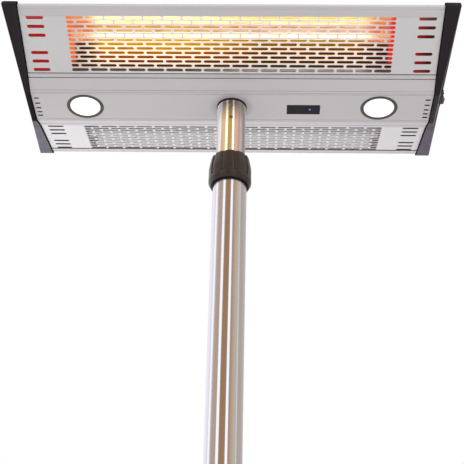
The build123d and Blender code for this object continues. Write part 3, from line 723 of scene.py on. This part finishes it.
glow_ribs = (
    (0.12, 0.115, 0.115), (0.38, 0.29, 0.22), (0.52, 0.38, 0.22), (0.6, 0.42, 0.23),
    (0.64, 0.46, 0.26), (0.64, 0.48, 0.3), (0.56, 0.44, 0.27), (0.46, 0.37, 0.25),
    (0.42, 0.32, 0.29), (0.42, 0.24, 0.19), (0.3, 0.15, 0.12), (0.42, 0.28, 0.24),
    (0.42, 0.26, 0.2),
)

# How far along the trough the lamp shows at full heat, dims, and gives way to the tips' red
# and the side slots' dark red. The unlit trough shows as far as cold_half.
lit_half = 262.0 * MM
dim_half = 290.0 * MM
tip_half = 316.0 * MM
side_half = 340.0 * MM
cold_half = 308.0 * MM
rib_glow_full, rib_glow_end = 255.0 * MM, 312.0 * MM
side_red_full, side_red_end = 372.0 * MM, 398.0 * MM

# How far a point inside the trough seems to move along the wing, for its height over the slots.
glow_slant = 0.657
rear_slant = 2.34
# Half width of the line between the glow of neighbouring slots.
joint_half = 0.9 * MM


def wing_coordinates(skin, side="MULTIPLY"):
    """Distance from the root line along the front wing, or both, and height over the underside."""
    across = skin.maths("SUBTRACT", skin.maths(side, skin.axis("Y"), -1.0), root_y)
    up = skin.maths("SUBTRACT", skin.axis("Z"), root_z)
    cosine, sine = math.cos(wing_angle), math.sin(wing_angle)
    along = skin.maths("ADD", skin.times(across, cosine), skin.times(up, sine))
    lift = skin.maths("SUBTRACT", skin.times(up, cosine), skin.times(across, sine))
    return along, lift


def row_share(skin, slant=0.0):
    """0 at the row next to the spine and 1 at the row next to the rim."""
    along, lift = wing_coordinates(skin)
    seen = skin.maths("ADD", along, skin.times(lift, slant))
    return skin.spread(seen, first_row, last_row)


def right_share(skin):
    """0 on the left half of the wing and 1 on the right, with a soft change between them."""
    return skin.spread(skin.axis("X"), -90.0 * MM, 60.0 * MM)


def by_row(skin, share, colours):
    return skin.ramp(share, [(row / (row_count - 1), colour) for row, colour in enumerate(colours)])


def cooler_right(skin, share, colours, rest):
    """Colours by row, of which a rest stays on the right half between the lamp and the spine."""
    lit = by_row(skin, share, colours)
    fading = skin.times(right_share(skin), skin.falling(share, 0.55, 0.62))
    return skin.blend(fading, lit, skin.tinted(lit, rest))


def heat_glow(skin, strength, inside=1.0):
    """Emission of the hot lamp, and painted reflections of it inside the trough: bands along the
    wing.
    """
    share = row_share(skin, glow_slant)
    right = right_share(skin)
    end = skin.reach("X")
    left_rows, right_rows, end_rows = (
        by_row(skin, share, colours) for colours in (glow_left, glow_right, glow_ends)
    )
    flicker = skin.spread(skin.noise((38.0, 120.0, 120.0), roughness=0.6), 0.3, 0.7)
    lively = skin.blend(flicker, (0.70, 0.55, 0.45), (1.2, 1.15, 1.1))
    lit = skin.tinted(skin.blend(right, left_rows, right_rows), lively)
    colour = skin.blend(skin.spread(end, lit_half, dim_half), lit, end_rows)
    tips = skin.blend(right, (0.85, 0.16, 0.04), (0.72, 0.02, 0.008))
    tip = skin.times(skin.past(end, tip_half, 6.0 * MM), skin.spread(share, 0.12, 0.22))
    colour = skin.blend(tip, colour, tips)
    # Painted dark red reflection past the trough's ends, behind the side slots.
    fading = skin.spread(end, side_red_full, side_red_end)
    right_side = skin.blend(fading, (0.36, 0.008, 0.006), (0.06, 0.002, 0.002))
    side = skin.blend(right, (0.40, 0.004, 0.004), right_side)
    colour = skin.blend(skin.past(end, side_half, 10.0 * MM), colour, side)
    skin.shine(skin.blend(inside, BLACK, colour), strength)


def cold_sheet(name):
    """Reflector sheet of the unlit wing: bright along the lamp, with painted shade behind the outer
    rows of slots and past the lamp's ends.
    """
    skin = Surface(name, Metallic=0.2, Roughness=0.4)
    lines = skin.noise((2.0, 500.0, 500.0), detail=4.0, roughness=0.6)
    bright = skin.blend(lines, (0.88, 0.87, 0.89), (0.96, 0.95, 0.96))
    along, lift = wing_coordinates(skin, "ABSOLUTE")
    seen = skin.maths("SUBTRACT", along, skin.times(lift, rear_slant))
    near, far = 0.4 * row_pitch, 0.7 * row_pitch
    edges = skin.maths(
        "ADD",
        skin.spread(seen, first_row + near, first_row + far, 0.7, 0.0),
        skin.spread(seen, last_row - far, last_row - near, 0.0, 0.5),
    )
    ends = skin.past(skin.reach("X"), cold_half, 6.0 * MM)
    dark = skin.maths("ADD", edges, ends, clamp=True)
    # Painted shade behind the outer rows of slots and past the lamp's ends.
    skin.paint(skin.blend(dark, bright, (0.01, 0.01, 0.012)))
    skin.emboss(lines, 0.05 * MM, 0.3)
    return skin.material


def painted_glow_sheet(name):
    """Rolled reflector sheet, with the lamp's glow on it as painted reflection."""
    skin = Surface(name, Roughness=0.6, Specular_IOR_Level=0.1)
    skin.paint((0.020, 0.015, 0.012))
    heat_glow(skin, 1.0, skin.falling(skin.facing_up(), 0.1, 0.3))
    skin.emboss(skin.noise((3.0, 500.0, 500.0)), 0.05 * MM, 0.3)
    return skin.material


# The lamp's own glow; on the lamp holders, the same glow is painted light.
def lamp_or_painted_glow(name):
    skin = Surface(name, Roughness=0.25, Specular_IOR_Level=0.2)
    skin.paint((0.03, 0.02, 0.015))
    heat_glow(skin, 1.15)
    return skin.material


def painted_glow_walls(name):
    """Painted light on the slots' edges: yellow-white in the middle, orange and red at the ends."""
    skin = Surface(name, Roughness=0.6, Specular_IOR_Level=0.1)
    share = row_share(skin)
    end = skin.reach("X")
    # Base colour darker towards the ends.
    darker_to_ends = skin.spread(end, dim_half, tip_half)
    skin.paint(skin.blend(darker_to_ends, (0.30, 0.27, 0.25), (0.03, 0.02, 0.02)))
    lit = cooler_right(skin, share, glow_walls, (0.66, 0.50, 0.36))
    ends = skin.blend(right_share(skin), (0.85, 0.25, 0.07), (0.55, 0.06, 0.03))
    ends = skin.blend(skin.spread(share, 0.02, 0.06), (0.05, 0.02, 0.015), ends)
    colour = skin.blend(skin.spread(end, lit_half, dim_half + 15.0 * MM), lit, ends)
    # Painted dark red light past the trough's ends.
    red = skin.past(end, side_half, 10.0 * MM)
    skin.shine(skin.blend(red, colour, (0.09, 0.002, 0.002)))
    return skin.material


def slot_joints(skin, along):
    """1 on the fine lines half way between neighbouring slots, where the painted glow on the ribs
    ends.
    """
    row = skin.maths("DIVIDE", skin.maths("SUBTRACT", along, first_row), row_pitch)
    cell = {
        "X": skin.maths("DIVIDE", skin.axis("X"), row_pitch),
        "Y": skin.maths("ADD", row, 0.5),
    }
    bond = {
        "Vector": skin.add("ShaderNodeCombineXYZ", cell).outputs[0], "Scale": 1.0,
        "Brick Width": column_pitch / row_pitch, "Row Height": 1.0,
        "Mortar Size": joint_half / row_pitch, "Mortar Smooth": 0.4,
    }
    lines = skin.add("ShaderNodeTexBrick", bond, offset=0.5).outputs["Fac"]
    return skin.times(lines, skin.spread(row_share(skin), 0.5, 0.62, 0.25, 0.9))


def beside_trough(skin):
    return skin.past(skin.reach("X"), side_half, MM)


def paint_slotted(skin, tone, depth_of_shade, colour):
    """Paints sheet metal whose slots have walls in shade."""
    lift = wing_coordinates(skin, "ABSOLUTE")[1]
    walls = skin.times(depth_of_shade, skin.past(lift, 0.15 * MM, 0.1 * MM))
    skin.paint(skin.blend(walls, tone, colour))


def unlit_grille(name, colour):
    """Sprayed sheet metal, with painted half shade on its slots' walls, painted shade on them
    beside the trough, and painted shade on the web past the last row of slots.
    """
    skin = Surface(name, Metallic=0.35)
    along = wing_coordinates(skin, "ABSOLUTE")[0]
    # Painted shade on the web past the last row of slots.
    web = skin.past(along, last_row + slot_width / 2 + 0.1 * MM, 0.1 * MM)
    tone = skin.blend(web, sprayed(skin, colour, 0.03 * MM), (0.006, 0.004, 0.006))
    shade = skin.maths("MAXIMUM", beside_trough(skin), 0.47)
    paint_slotted(skin, tone, shade, (0.003, 0.001, 0.003))
    return skin.material


def lit_grille(name, colour):
    """Sprayed sheet metal, with painted light from the lamp behind it on its ribs, and painted
    shade with a red cast on its slots' walls beside the trough.
    """
    skin = Surface(name, Metallic=0.35)
    tone = sprayed(skin, colour, 0.03 * MM)
    # Painted shade with a red cast on the slots' walls beside the trough.
    paint_slotted(skin, tone, beside_trough(skin), (0.03, 0.003, 0.003))
    along = wing_coordinates(skin)[0]
    # Painted light from the lamp on the ribs.
    ribs = cooler_right(skin, row_share(skin), glow_ribs, (0.66, 0.66, 0.80))
    ribs = skin.blend(slot_joints(skin, along), ribs, (0.04, 0.02, 0.03))
    inside = skin.times(
        skin.falling(skin.reach("X"), rib_glow_full, rib_glow_end),
        skin.falling(along, last_row + 4.0 * MM, last_row + 16.0 * MM),
    )
    skin.shine(skin.blend(inside, BLACK, ribs))
    return skin.material


# ---------------------------------------------------------------- stage
class Studio(Surface):
    """The world's node tree, with the same helpers."""

    def __init__(self, name):
        world = bpy.data.worlds.new(name)
        bpy.context.scene.world = world
        world.use_nodes = True
        self.tree = world.node_tree
        self.tree.nodes.clear()
        self.place = self.add("ShaderNodeTexCoord").outputs["Generated"]

    def backdrop(self, colour, strength=1.0):
        return self.add("ShaderNodeBackground", {"Color": colour, "Strength": strength}).outputs[0]

    def choose(self, factor, low, high):
        return self.add("ShaderNodeMixShader", {0: factor, 1: low, 2: high}).outputs[0]


# Soft boxes: compass angle, half width in degrees, and level. Tones between them, by angle.
studio_boxes = ((-97.0, 7.0, 1.0), (-37.0, 7.5, 1.0), (19.0, 6.5, 1.0), (82.0, 4.0, 0.62))
box_fade = 3.0
studio_tones = (
    (-180.0, (0.46, 0.44, 0.49)), (-139.0, (0.80, 0.78, 0.82)), (-108.0, (0.71, 0.70, 0.67)),
    (-73.0, (0.41, 0.33, 0.27)), (-57.0, (0.44, 0.34, 0.23)), (-20.0, (0.30, 0.19, 0.088)),
    (0.0, (0.31, 0.195, 0.10)), (36.0, (0.38, 0.275, 0.18)), (52.0, (0.47, 0.38, 0.265)),
    (66.0, (0.48, 0.44, 0.32)), (100.0, (0.40, 0.36, 0.28)), (130.0, (0.42, 0.38, 0.33)),
    (180.0, (0.46, 0.44, 0.49)),
)


def make_world():
    """White to the camera. Metal sees tall white soft boxes, and warm tones between them."""
    studio = Studio("studio")
    paths = studio.add("ShaderNodeLightPath").outputs
    streaks = []
    for degrees, half_width, level in studio_boxes:
        streaks += [
            (degrees - half_width - box_fade, BLACK), (degrees - half_width, grey(level)),
            (degrees + half_width, grey(level)), (degrees + half_width + box_fade, BLACK),
        ]
    mirrored = studio.blend(
        1.0, studio.round_about(studio_tones), studio.round_about(streaks), "LIGHTEN"
    )
    plain = studio.backdrop(WHITE, 0.6)
    lighting = studio.choose(paths["Is Glossy Ray"], plain, studio.backdrop(mirrored, 1.7))
    clear = studio.maths("MAXIMUM", paths["Is Camera Ray"], paths["Is Transmission Ray"])
    final = studio.choose(clear, lighting, studio.backdrop(WHITE))
    studio.add("ShaderNodeOutputWorld", {"Surface": final})


def floor_finish():
    skin = Surface("pale_floor", Roughness=0.75)
    skin.paint(skin.blend(skin.noise(2.0, detail=4.0), grey(0.84), grey(0.88)))
    return skin.material


def make_floor():
    size = 9.0
    corners = [(-size, -size, 0.0), (size, -size, 0.0), (size, size, 0.0), (-size, size, 0.0)]
    piece_from("floor", corners, [(0, 1, 2, 3)], floor_finish())


def make_softbox(name, place, size, power, aim, mirrored=False):
    data = bpy.data.lights.new(name, "AREA")
    data.shape = "RECTANGLE"
    data.size, data.size_y = size
    data.energy = power
    lamp = new_object(name, data)
    lamp.visible_glossy = mirrored
    lamp.location = place
    lamp.rotation_mode = "QUATERNION"
    lamp.rotation_quaternion = (Vector(aim) - Vector(place)).to_track_quat("-Z", "Y")


def make_lights():
    middle, head = (0.0, 0.0, 1.6), (0.0, 0.0, 2.0)
    make_softbox("key", (-3.2, -3.4, 3.6), (1.6, 2.4), 60.0, middle)
    make_softbox("fill", (3.6, -2.6, 2.2), (1.8, 2.6), 30.0, middle)
    make_softbox("back", (-0.9, 3.8, 1.1), (3.6, 1.2), 26.0, head, mirrored=True)
    make_softbox("front", (0.0, -3.8, 0.9), (3.6, 1.2), 30.0, head)
    make_softbox("floor_wash", (0.0, -1.6, 3.9), (4.0, 3.0), 20.0, (0.0, -0.8, 0.0))


# The photograph's camera: where it stood, and how it was pitched, turned and rolled.
camera_place = Vector((0.0591, -1.8872, 0.4856))
camera_pitch = math.radians(32.20)
camera_turn = math.radians(-1.59)
camera_roll = math.radians(1.32)
focal_length = 1138.4
photo_width = 464.0
sensor = 36.0


def make_camera():
    data = bpy.data.cameras.new("photo_camera")
    data.sensor_width = sensor
    data.lens = focal_length / photo_width * sensor
    data.clip_start, data.clip_end = 0.05, 60.0
    camera = new_object("photo_camera", data)
    flat = math.cos(camera_pitch)
    ahead = Vector(
        (math.sin(camera_turn) * flat, math.cos(camera_turn) * flat, math.sin(camera_pitch))
    )
    right = Vector((math.cos(camera_turn), -math.sin(camera_turn), 0.0))
    up = right.cross(ahead)
    rolled_right = math.cos(camera_roll) * right + math.sin(camera_roll) * up
    rolled_up = math.cos(camera_roll) * up - math.sin(camera_roll) * right
    axes = Matrix((rolled_right, rolled_up, -ahead)).transposed().to_4x4()
    camera.matrix_world = Matrix.Translation(camera_place) @ axes
    bpy.context.scene.camera = camera


# ---------------------------------------------------------------- modelled pieces
def make_tube(node, material):
    """A drawn tube with lightly broken edges."""
    low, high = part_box(node)
    bore = high.x - tube_wall
    outline = [(bore, low.z), (high.x, low.z), (high.x, high.z), (bore, high.z)]
    turned_piece(node, "drawn_" + node, rounded(outline, 0.5 * MM), material, 160)


def collar_outline(outside, height):
    """Half section of the collar: a cone, a plain band, a round shoulder and a stepped bore."""
    foot_bore, foot = outside - 5.5 * MM, outside - 4.2 * MM
    band_rings = (8.6, 12.0, 13.5, 14.5, 15.5, 16.5, 17.5, 18.5, 20.0, 23.0, 28.0, 33.0)
    outline = [(foot_bore, 0.0), (foot, 0.0), (outside - 0.2 * MM, 7.4 * MM)]
    outline += [(outside, ring * MM) for ring in band_rings]
    top = outside - 4.4 * MM
    shoulder, shoulder_top, steps = 36.7 * MM, height - 1.5 * MM, 7
    for step in range(steps + 1):
        share = step / steps
        outline.append(
            (outside + (top - outside) * share**1.25, shoulder + (shoulder_top - shoulder) * share)
        )
    neck, recess = 30.0 * MM, 33.5 * MM
    neck_floor, recess_floor = height - 3.0 * MM, height - 11.7 * MM
    return outline + [
        (top - 0.5 * MM, height - 0.4 * MM), (top - 1.6 * MM, height), (neck, height),
        (neck, neck_floor), (recess, neck_floor), (recess, recess_floor),
        (foot_bore, recess_floor),
    ]


def fluted(angle, radius, level):
    """Radius of the collar with its flutes, the notch at each flute's foot and crowned pads."""
    outer_wall, cone_top = 36.0 * MM, 9.0 * MM
    if radius < outer_wall or level < cone_top:
        return radius
    notch_depth, crown = 1.6 * MM, 1.2 * MM
    pitch = math.tau / flute_count
    turn = abs((angle + pitch / 2) % pitch - pitch / 2)
    half = flute_width / 2
    groove = 1.0 - smooth_step(half - 1.1 * MM, half + 0.5 * MM, turn * radius)
    run_in = smooth_step(flute_low, flute_low + 3.0 * MM, level)
    notch = smooth_step(flute_low - 1.0 * MM, flute_low, level)
    notch *= 1.0 - smooth_step(flute_low + 1.5 * MM, flute_low + 4.0 * MM, level)
    pad = (turn / (pitch / 2) - 0.5) ** 2 * crown * run_in
    return radius - groove * (flute_depth * run_in + notch_depth * notch) - pad


def make_collar(material):
    """Hand nut with crowned pads between its flutes, and a plain band under them."""
    low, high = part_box("clamp_collar")
    turned_piece(
        "clamp_collar", "fluted_collar", collar_outline(high.x, high.z - low.z), material,
        320, 30.0, shape=fluted, matrix=shift(z=low.z),
    )


def make_clamp_sleeve(material):
    """Sleeve of the clamp. Its foot shows as a dark rim under the collar."""
    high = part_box("clamp_body")[1]
    collar_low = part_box("clamp_collar")[0].z
    tube_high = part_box("lower_tube")[1]
    bore = tube_high.x + 0.1 * MM
    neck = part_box("upper_tube")[1].x + running_gap
    foot, foot_wall = collar_low - 1.8 * MM, 1.1 * MM
    outline = [
        (bore, foot), (bore + foot_wall, foot), (high.x, collar_low), (high.x, high.z),
        (neck, high.z), (neck, tube_high.z), (bore, tube_high.z),
    ]
    turned_piece("clamp_body", "clamp_sleeve", outline, material, 160)


def socket_head(radius, height, socket):
    """Outline and shape of a domed screw head with a hexagon socket, standing on z = 0."""
    floor, edge = height * 0.35, 1.0 * MM
    outline = [
        (0.0, 0.0), (radius, 0.0), (radius, height - edge),
        (radius - edge * 0.4, height - edge * 0.3), (radius - edge, height), (socket, height),
        (socket, floor), (0.0, floor * 0.8),
    ]
    hexed = hexagon(socket)
    return outline, lambda angle, at, level: hexed(angle) if at == socket else at


def make_gasket(material):
    """Rubber ring whose soft lip folds over the top edge of the upper tube."""
    low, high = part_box("mast_gasket")
    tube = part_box("upper_tube")[1].x
    inner, outer, bore = tube + 0.05 * MM, tube + 1.8 * MM, tube - 1.4 * MM
    lip = low.z - 2.5 * MM
    outline = [
        (inner, lip), (tube + 1.2 * MM, lip + 0.3 * MM), (outer, low.z), (outer, high.z),
        (bore, high.z), (bore, low.z), (inner, low.z),
    ]
    turned_piece("mast_gasket", "lipped_gasket", outline, material)


def make_mast_screws(material):
    """Two button heads with hexagon sockets on the front of the upper tube."""
    low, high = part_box("mast_screws")
    radius = (high.x - low.x) / 2
    head_height, shank_radius, shank_length = 2.2 * MM, 2.5 * MM, 5.0 * MM
    outline, shape = socket_head(radius, head_height, 2.0 * MM)
    shank = [(0.0, -shank_length), (shank_radius, -shank_length), (shank_radius, 0.0), (0.0, 0.0)]
    shapes = []
    for z in (low.z + radius, high.z - radius):
        place = shift(0.0, low.y + head_height, z) @ turn_about("X", math.pi / 2)
        shapes += [turned(outline, 48, shape, place), turned(shank, 24, None, place)]
    stand_for(piece_from("socket_screws", *joined(shapes), material), "mast_screws")


def make_roof_screws(material):
    """Button heads with hexagon sockets along both edges of the roof."""
    low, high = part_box("roof_screws")
    radius, head_height = 4.0 * MM, 2.2 * MM
    outline, shape = socket_head(radius, head_height, 1.7 * MM)
    z = (low.z + high.z - head_height) / 2
    shapes = []
    for side in (-1, 1):
        for index in range(roof_screw_count):
            x = (index / (roof_screw_count - 1) * 2 - 1) * (high.x - radius)
            place = shift(x, side * (high.y - radius), z) @ turn_about("X", -side * roof_angle)
            shapes.append(turned(outline, 36, shape, place))
    stand_for(piece_from("roof_button_screws", *joined(shapes), material), "roof_screws")


def make_base_cover(material):
    """Spun steel cover: a rolled foot, a round shoulder and a low dome."""
    low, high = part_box("base_cover")
    sheet, shoulder, hub, steps = 1.5 * MM, 8.0 * MM, 62.0 * MM, 8
    outside, inside = high.x, high.x - sheet
    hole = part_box("lower_tube")[1].x + running_gap
    wall_top = low.z + 22.0 * MM
    rim, crown = outside - shoulder, wall_top + shoulder
    dome = [(rim, crown)]
    for step in range(1, steps + 1):
        share = step / steps
        rise = (high.z - crown) * math.sin(share * math.pi / 2) ** 0.9
        dome.append((rim + (hub - rim) * share, crown + rise))
    outline = [
        (outside, low.z), (outside, wall_top), *dome, (hole, high.z), (hole, high.z - sheet),
        (hub, high.z - sheet), *[(radius, level - sheet) for radius, level in dome[-2::-1]],
        (inside, wall_top - sheet), (inside, low.z),
    ]
    turned_piece("base_cover", "spun_base_cover", rounded(outline, 3.0 * MM), material, 180, 40.0)


def make_trim_ring(material):
    low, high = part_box("base_trim_ring")
    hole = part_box("lower_tube")[1].x + running_gap
    brim, knee, knee_height, lip = 3.5 * MM, 9.0 * MM, 6.5 * MM, 3.2 * MM
    outline = [
        (hole, low.z), (high.x, low.z), (high.x, low.z + brim),
        (hole + knee, low.z + knee_height), (hole + lip, high.z), (hole, high.z),
    ]
    turned_piece("base_trim_ring", "moulded_trim_ring", rounded(outline, 1.5 * MM), material)


def make_light(side, bezel_material, lens_material):
    """Turned bezel with a stepped lip, and a lens with a shallow dome."""
    low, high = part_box(side + "_light_bezel")
    centre = shift((low.x + high.x) / 2, (low.y + high.y) / 2)
    outside = (high.x - low.x) / 2
    lens_low, lens_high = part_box(side + "_light_lens")
    lens = (lens_high.x - lens_low.x) / 2
    bore, neck, seat = lens + 0.05 * MM, lens + 2.8 * MM, low.z + 1.3 * MM
    outline = [
        (bore, low.z + 0.6 * MM), (lens + 0.9 * MM, low.z), (outside - 1.5 * MM, low.z),
        (outside - 0.3 * MM, low.z + 0.5 * MM), (outside, seat), (neck, seat), (neck, high.z),
        (bore, high.z),
    ]
    turned_piece(
        side + "_light_bezel", side + "_bezel_ring", rounded(outline, 0.4 * MM), bezel_material,
        160, matrix=centre,
    )
    rise, steps = 0.7 * MM, 8
    dome = [
        (lens * step / steps, lens_low.z + rise * (step / steps) ** 2.5)
        for step in range(steps + 1)
    ]
    outline = dome + [(lens, lens_high.z), (0.0, lens_high.z)]
    turned_piece(
        side + "_light_lens", side + "_domed_lens", outline, lens_material, 96, 45.0,
        matrix=centre,
    )


def wound(node, material):
    """A wound heating coil on its two straight tails, in the node's place."""
    low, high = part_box(node)
    y, z = (low.y + high.y) / 2, (low.z + high.z) / 2
    radius = (high.z - low.z) / 2 - coil_wire
    tail, steps = 22.0 * MM, 14
    coil_half = high.x - tail
    count = int(2 * coil_half / coil_pitch) * steps
    path = [(low.x, y, z), (-coil_half - coil_pitch, y, z)]
    for index in range(count + 1):
        angle = math.tau * index / steps
        x = -coil_half + 2 * coil_half * index / count
        path.append((x, y + radius * math.cos(angle), z + radius * math.sin(angle)))
    path += [(coil_half + coil_pitch, y, z), (high.x, y, z)]
    curve = bpy.data.curves.new(node + "_wire", "CURVE")
    curve.dimensions = "3D"
    curve.bevel_depth = coil_wire
    curve.bevel_resolution = 1
    curve.use_fill_caps = True
    add_spline(curve, path)
    stand_for(finished(new_object("wound_" + node, mesh_of(curve)), material, 60.0), node)


def make_lamp(node, material):
    """Quartz tube whose ends are pinched flat."""
    low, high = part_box(node)
    middle = (low + high) / 2
    half, radius = high.x, (high.z - low.z) / 2
    pinch, half_wide, half_thick, rings = 8.0 * MM, 7.2 * MM, 2.0 * MM, 4
    bends = [half - pinch * (0.7 + 0.6 * ring / rings) for ring in range(rings + 1)]
    heights = [-half, *[-bend for bend in bends], *reversed(bends), half]
    outline = [(0.0, -half), *[(radius, height) for height in heights], (0.0, half)]

    def pinched(angle, size, at):
        if size == 0.0:
            return 0.0
        round_share = 1.0 - smooth_step(half - pinch * 1.4, half - pinch * 0.7, abs(at))
        flat = abs(math.sin(angle)) * half_wide + abs(math.cos(angle)) * half_thick
        return flat + (size - flat) * round_share

    turned_piece(
        node, "quartz_" + node, outline, material, 48, 40.0, shape=pinched,
        matrix=shift(0.0, middle.y, middle.z) @ turn_about("Y", math.pi / 2),
    )


def make_gland(material):
    """Cable gland with a hexagon foot and a ribbed dome nut."""
    low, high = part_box("cable_gland")
    foot, ribs = 34.2 * MM, 18
    bore, thread, dome, corner = 4.5 * MM, 8.0 * MM, 9.6 * MM, 12.0 * MM
    thread_low, hex_low, hex_high, top = -9.0 * MM, 0.1 * MM, 4.1 * MM, 18.1 * MM
    outline = [
        (bore, thread_low), (thread, thread_low), (thread, hex_low), (corner, hex_low),
        (corner, hex_high), (dome, hex_high + 0.3 * MM), (dome, 12.0 * MM), (thread, 15.6 * MM),
        (6.2 * MM, top), (bore, top),
    ]
    hexed = hexagon(10.5 * MM)

    def shape(angle, radius, level):
        if radius == corner:
            return min(hexed(angle), corner)
        if radius == dome:
            return radius - 0.5 * MM * (0.5 + 0.5 * math.cos(angle * ribs))
        return radius

    turned_piece(
        "cable_gland", "ribbed_gland", outline, material, 144, 30.0, shape=shape,
        matrix=shift(0.0, foot, (low.z + high.z) / 2) @ turn_about("X", -math.pi / 2),
    )


# ---------------------------------------------------------------- finishes of the CAD nodes
def dress(material, *names):
    for name in names:
        for slot in nodes[name].material_slots:
            slot.material = material


def both(name):
    return "front_" + name, "rear_" + name


def pair(name):
    return "left_" + name, "right_" + name


mast_grinding = {
    "scale": (60.0, 60.0, 900.0), "rough": (0.13, 0.18),
    "Anisotropic": 0.9, "Anisotropic_Rotation": 0.25,
}
# Painted reflections on the upper tube, of the glow and the studio, by compass angle.
painted_reflection_tints = (
    (-90.0, (0.30, 0.28, 0.30)), (-68.0, (0.21, 0.20, 0.22)), (-57.0, (0.64, 0.63, 0.64)),
    (-49.0, (0.64, 0.60, 0.60)), (-41.0, (0.60, 0.44, 0.37)), (-31.0, (1.0, 0.90, 0.68)),
    (-14.0, (1.0, 0.95, 0.60)), (-6.0, (1.0, 1.0, 0.52)), (8.0, (1.0, 0.95, 0.68)),
    (18.0, (1.0, 0.88, 0.98)), (27.0, (0.88, 0.62, 0.66)), (36.0, (0.47, 0.38, 0.42)),
    (46.0, (0.72, 0.66, 0.70)), (60.0, (0.32, 0.27, 0.33)), (90.0, (0.30, 0.28, 0.30)),
)
mast_steel = brushed("mast_steel", (0.60, 0.59, 0.65), **mast_grinding)
reflected_glow_steel = steel_with_painted_reflections("heat_tinted_steel", painted_reflection_tints, (0.25, 0.24, 0.24), **mast_grinding)
zinc = brushed("zinc_plate", (0.62, 0.61, 0.58), 300.0)
rubber = soft_rubber("soft_rubber", (0.008, 0.007, 0.007))
plug_finish = moulded("plug_black", grey(0.03))
switch_finish = moulded("switch_plastic", grey(0.004), (0.2, 0.3))

dress(spine_aluminium("spine_aluminium"), "spine_panel")
dress(rail_aluminium("rail_aluminium"), *both("rail"))
dress(roof_coat("roof_coat", (0.46, 0.45, 0.46)), "roof_panel")
dress(zinc, "socket_bolts", "flange_bolts")
dress(moulded("switch_case", grey(0.05)), "switch_body")
dress(cold_sheet("cold_reflector"), "rear_reflector")
dress(painted_glow_sheet("lit_reflector"), "front_reflector")
dress(glazed_ceramic("steatite", (0.66, 0.64, 0.60)), "rear_lamp_holders")
# Painted light: the lamp's glow on the ceramic holders.
dress(lamp_or_painted_glow("lit_ceramic"), "front_lamp_holders")
dress(circuit_board("lit_board", (0.75, 0.76, 0.75)), *pair("light_board"))
dress(rough_casting("light_casting", grey(0.45)), *pair("light_housing"))
dress(black_window("black_window"), "display_window")
dress(lit_indicator("lit_indicator"), "status_indicator")
dress(circuit_board("green_board", (0.03, 0.16, 0.07)), "receiver_board", "control_board")
dress(brushed("brass", (0.72, 0.56, 0.28), 500.0), "board_standoffs")
dress(moulded("terminal_white", (0.78, 0.77, 0.73)), "terminal_block")
dress(moulded("tilt_black", grey(0.05)), "tilt_switch")
dress(rough_casting("socket_casting", grey(0.50)), "mast_socket")
dress(rubber, "rubber_feet")
dress(moulded("nylon", (0.78, 0.78, 0.73)), "slide_guide", "clamp_collet")
dress(plug_finish, "guide_stop_ring", "tube_end_plug", "gland_nut")
dress(rough_casting("weight_iron", grey(0.05)), "base_weight")
dress(powder_coat("flange_black", grey(0.04)), "mast_flange")

make_grille("rear_grille", 0.0, unlit_grille("grille_coat", (0.76, 0.74, 0.75)))
make_grille("front_grille", math.pi, lit_grille("lit_grille_coat", (0.70, 0.68, 0.685)))
make_slot_edges("front_grille", math.pi, painted_glow_walls("lit_slot_edges"))
make_tube("lower_tube", mast_steel)
make_tube("upper_tube", reflected_glow_steel)
make_collar(moulded("collar_plastic", (0.027, 0.016, 0.013), (0.25, 0.4), specular=0.36))
make_clamp_sleeve(moulded("sleeve_plastic", (0.006, 0.005, 0.005), specular=0.1))
make_gasket(rubber)
make_mast_screws(brushed("dark_zinc", (0.20, 0.19, 0.18), 300.0))
make_roof_screws(zinc)
make_base_cover(brushed("cover_steel", (0.60, 0.59, 0.58), 260.0, (0.40, 0.52), Metallic=0.45))
make_trim_ring(moulded("trim_black", grey(0.02)))
make_gland(plug_finish)
cap_finish = cap_plastic("cap_plastic", (0.010, 0.008, 0.009), (0.97, 0.84, 1.0))
bezel_finish = brushed("bezel_metal", (0.075, 0.068, 0.052), 400.0, (0.35, 0.45), Metallic=0.3)
lens_finish = lit_lens("lit_lens")
for side in ("left", "right"):
    make_light(side, bezel_finish, lens_finish)
    softened(side + "_end_cap", 0.7 * MM, cap_finish)
for node in ("switch_frame", "power_rocker"):
    softened(node, 0.4 * MM, switch_finish)
hot_finish = lamp_or_painted_glow("lit_tube")
make_lamp("front_lamp", hot_finish)
make_lamp("rear_lamp", moulded("quartz", (0.70, 0.72, 0.74), (0.05, 0.12)))
wound("front_filament", hot_finish)
wound("rear_filament", brushed("tungsten", grey(0.4), (900.0, 60.0, 60.0)))

# Nothing mirrors the head, so that the mast shows the studio alone.
for piece in bpy.context.scene.objects:
    if piece.name in record["behaviour"]["bodies"]["head"] or piece.get("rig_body") == "head":
        piece.visible_glossy = False

make_world()
make_floor()
make_lights()
make_camera()
bpy.context.scene.view_settings.view_transform = "Standard"
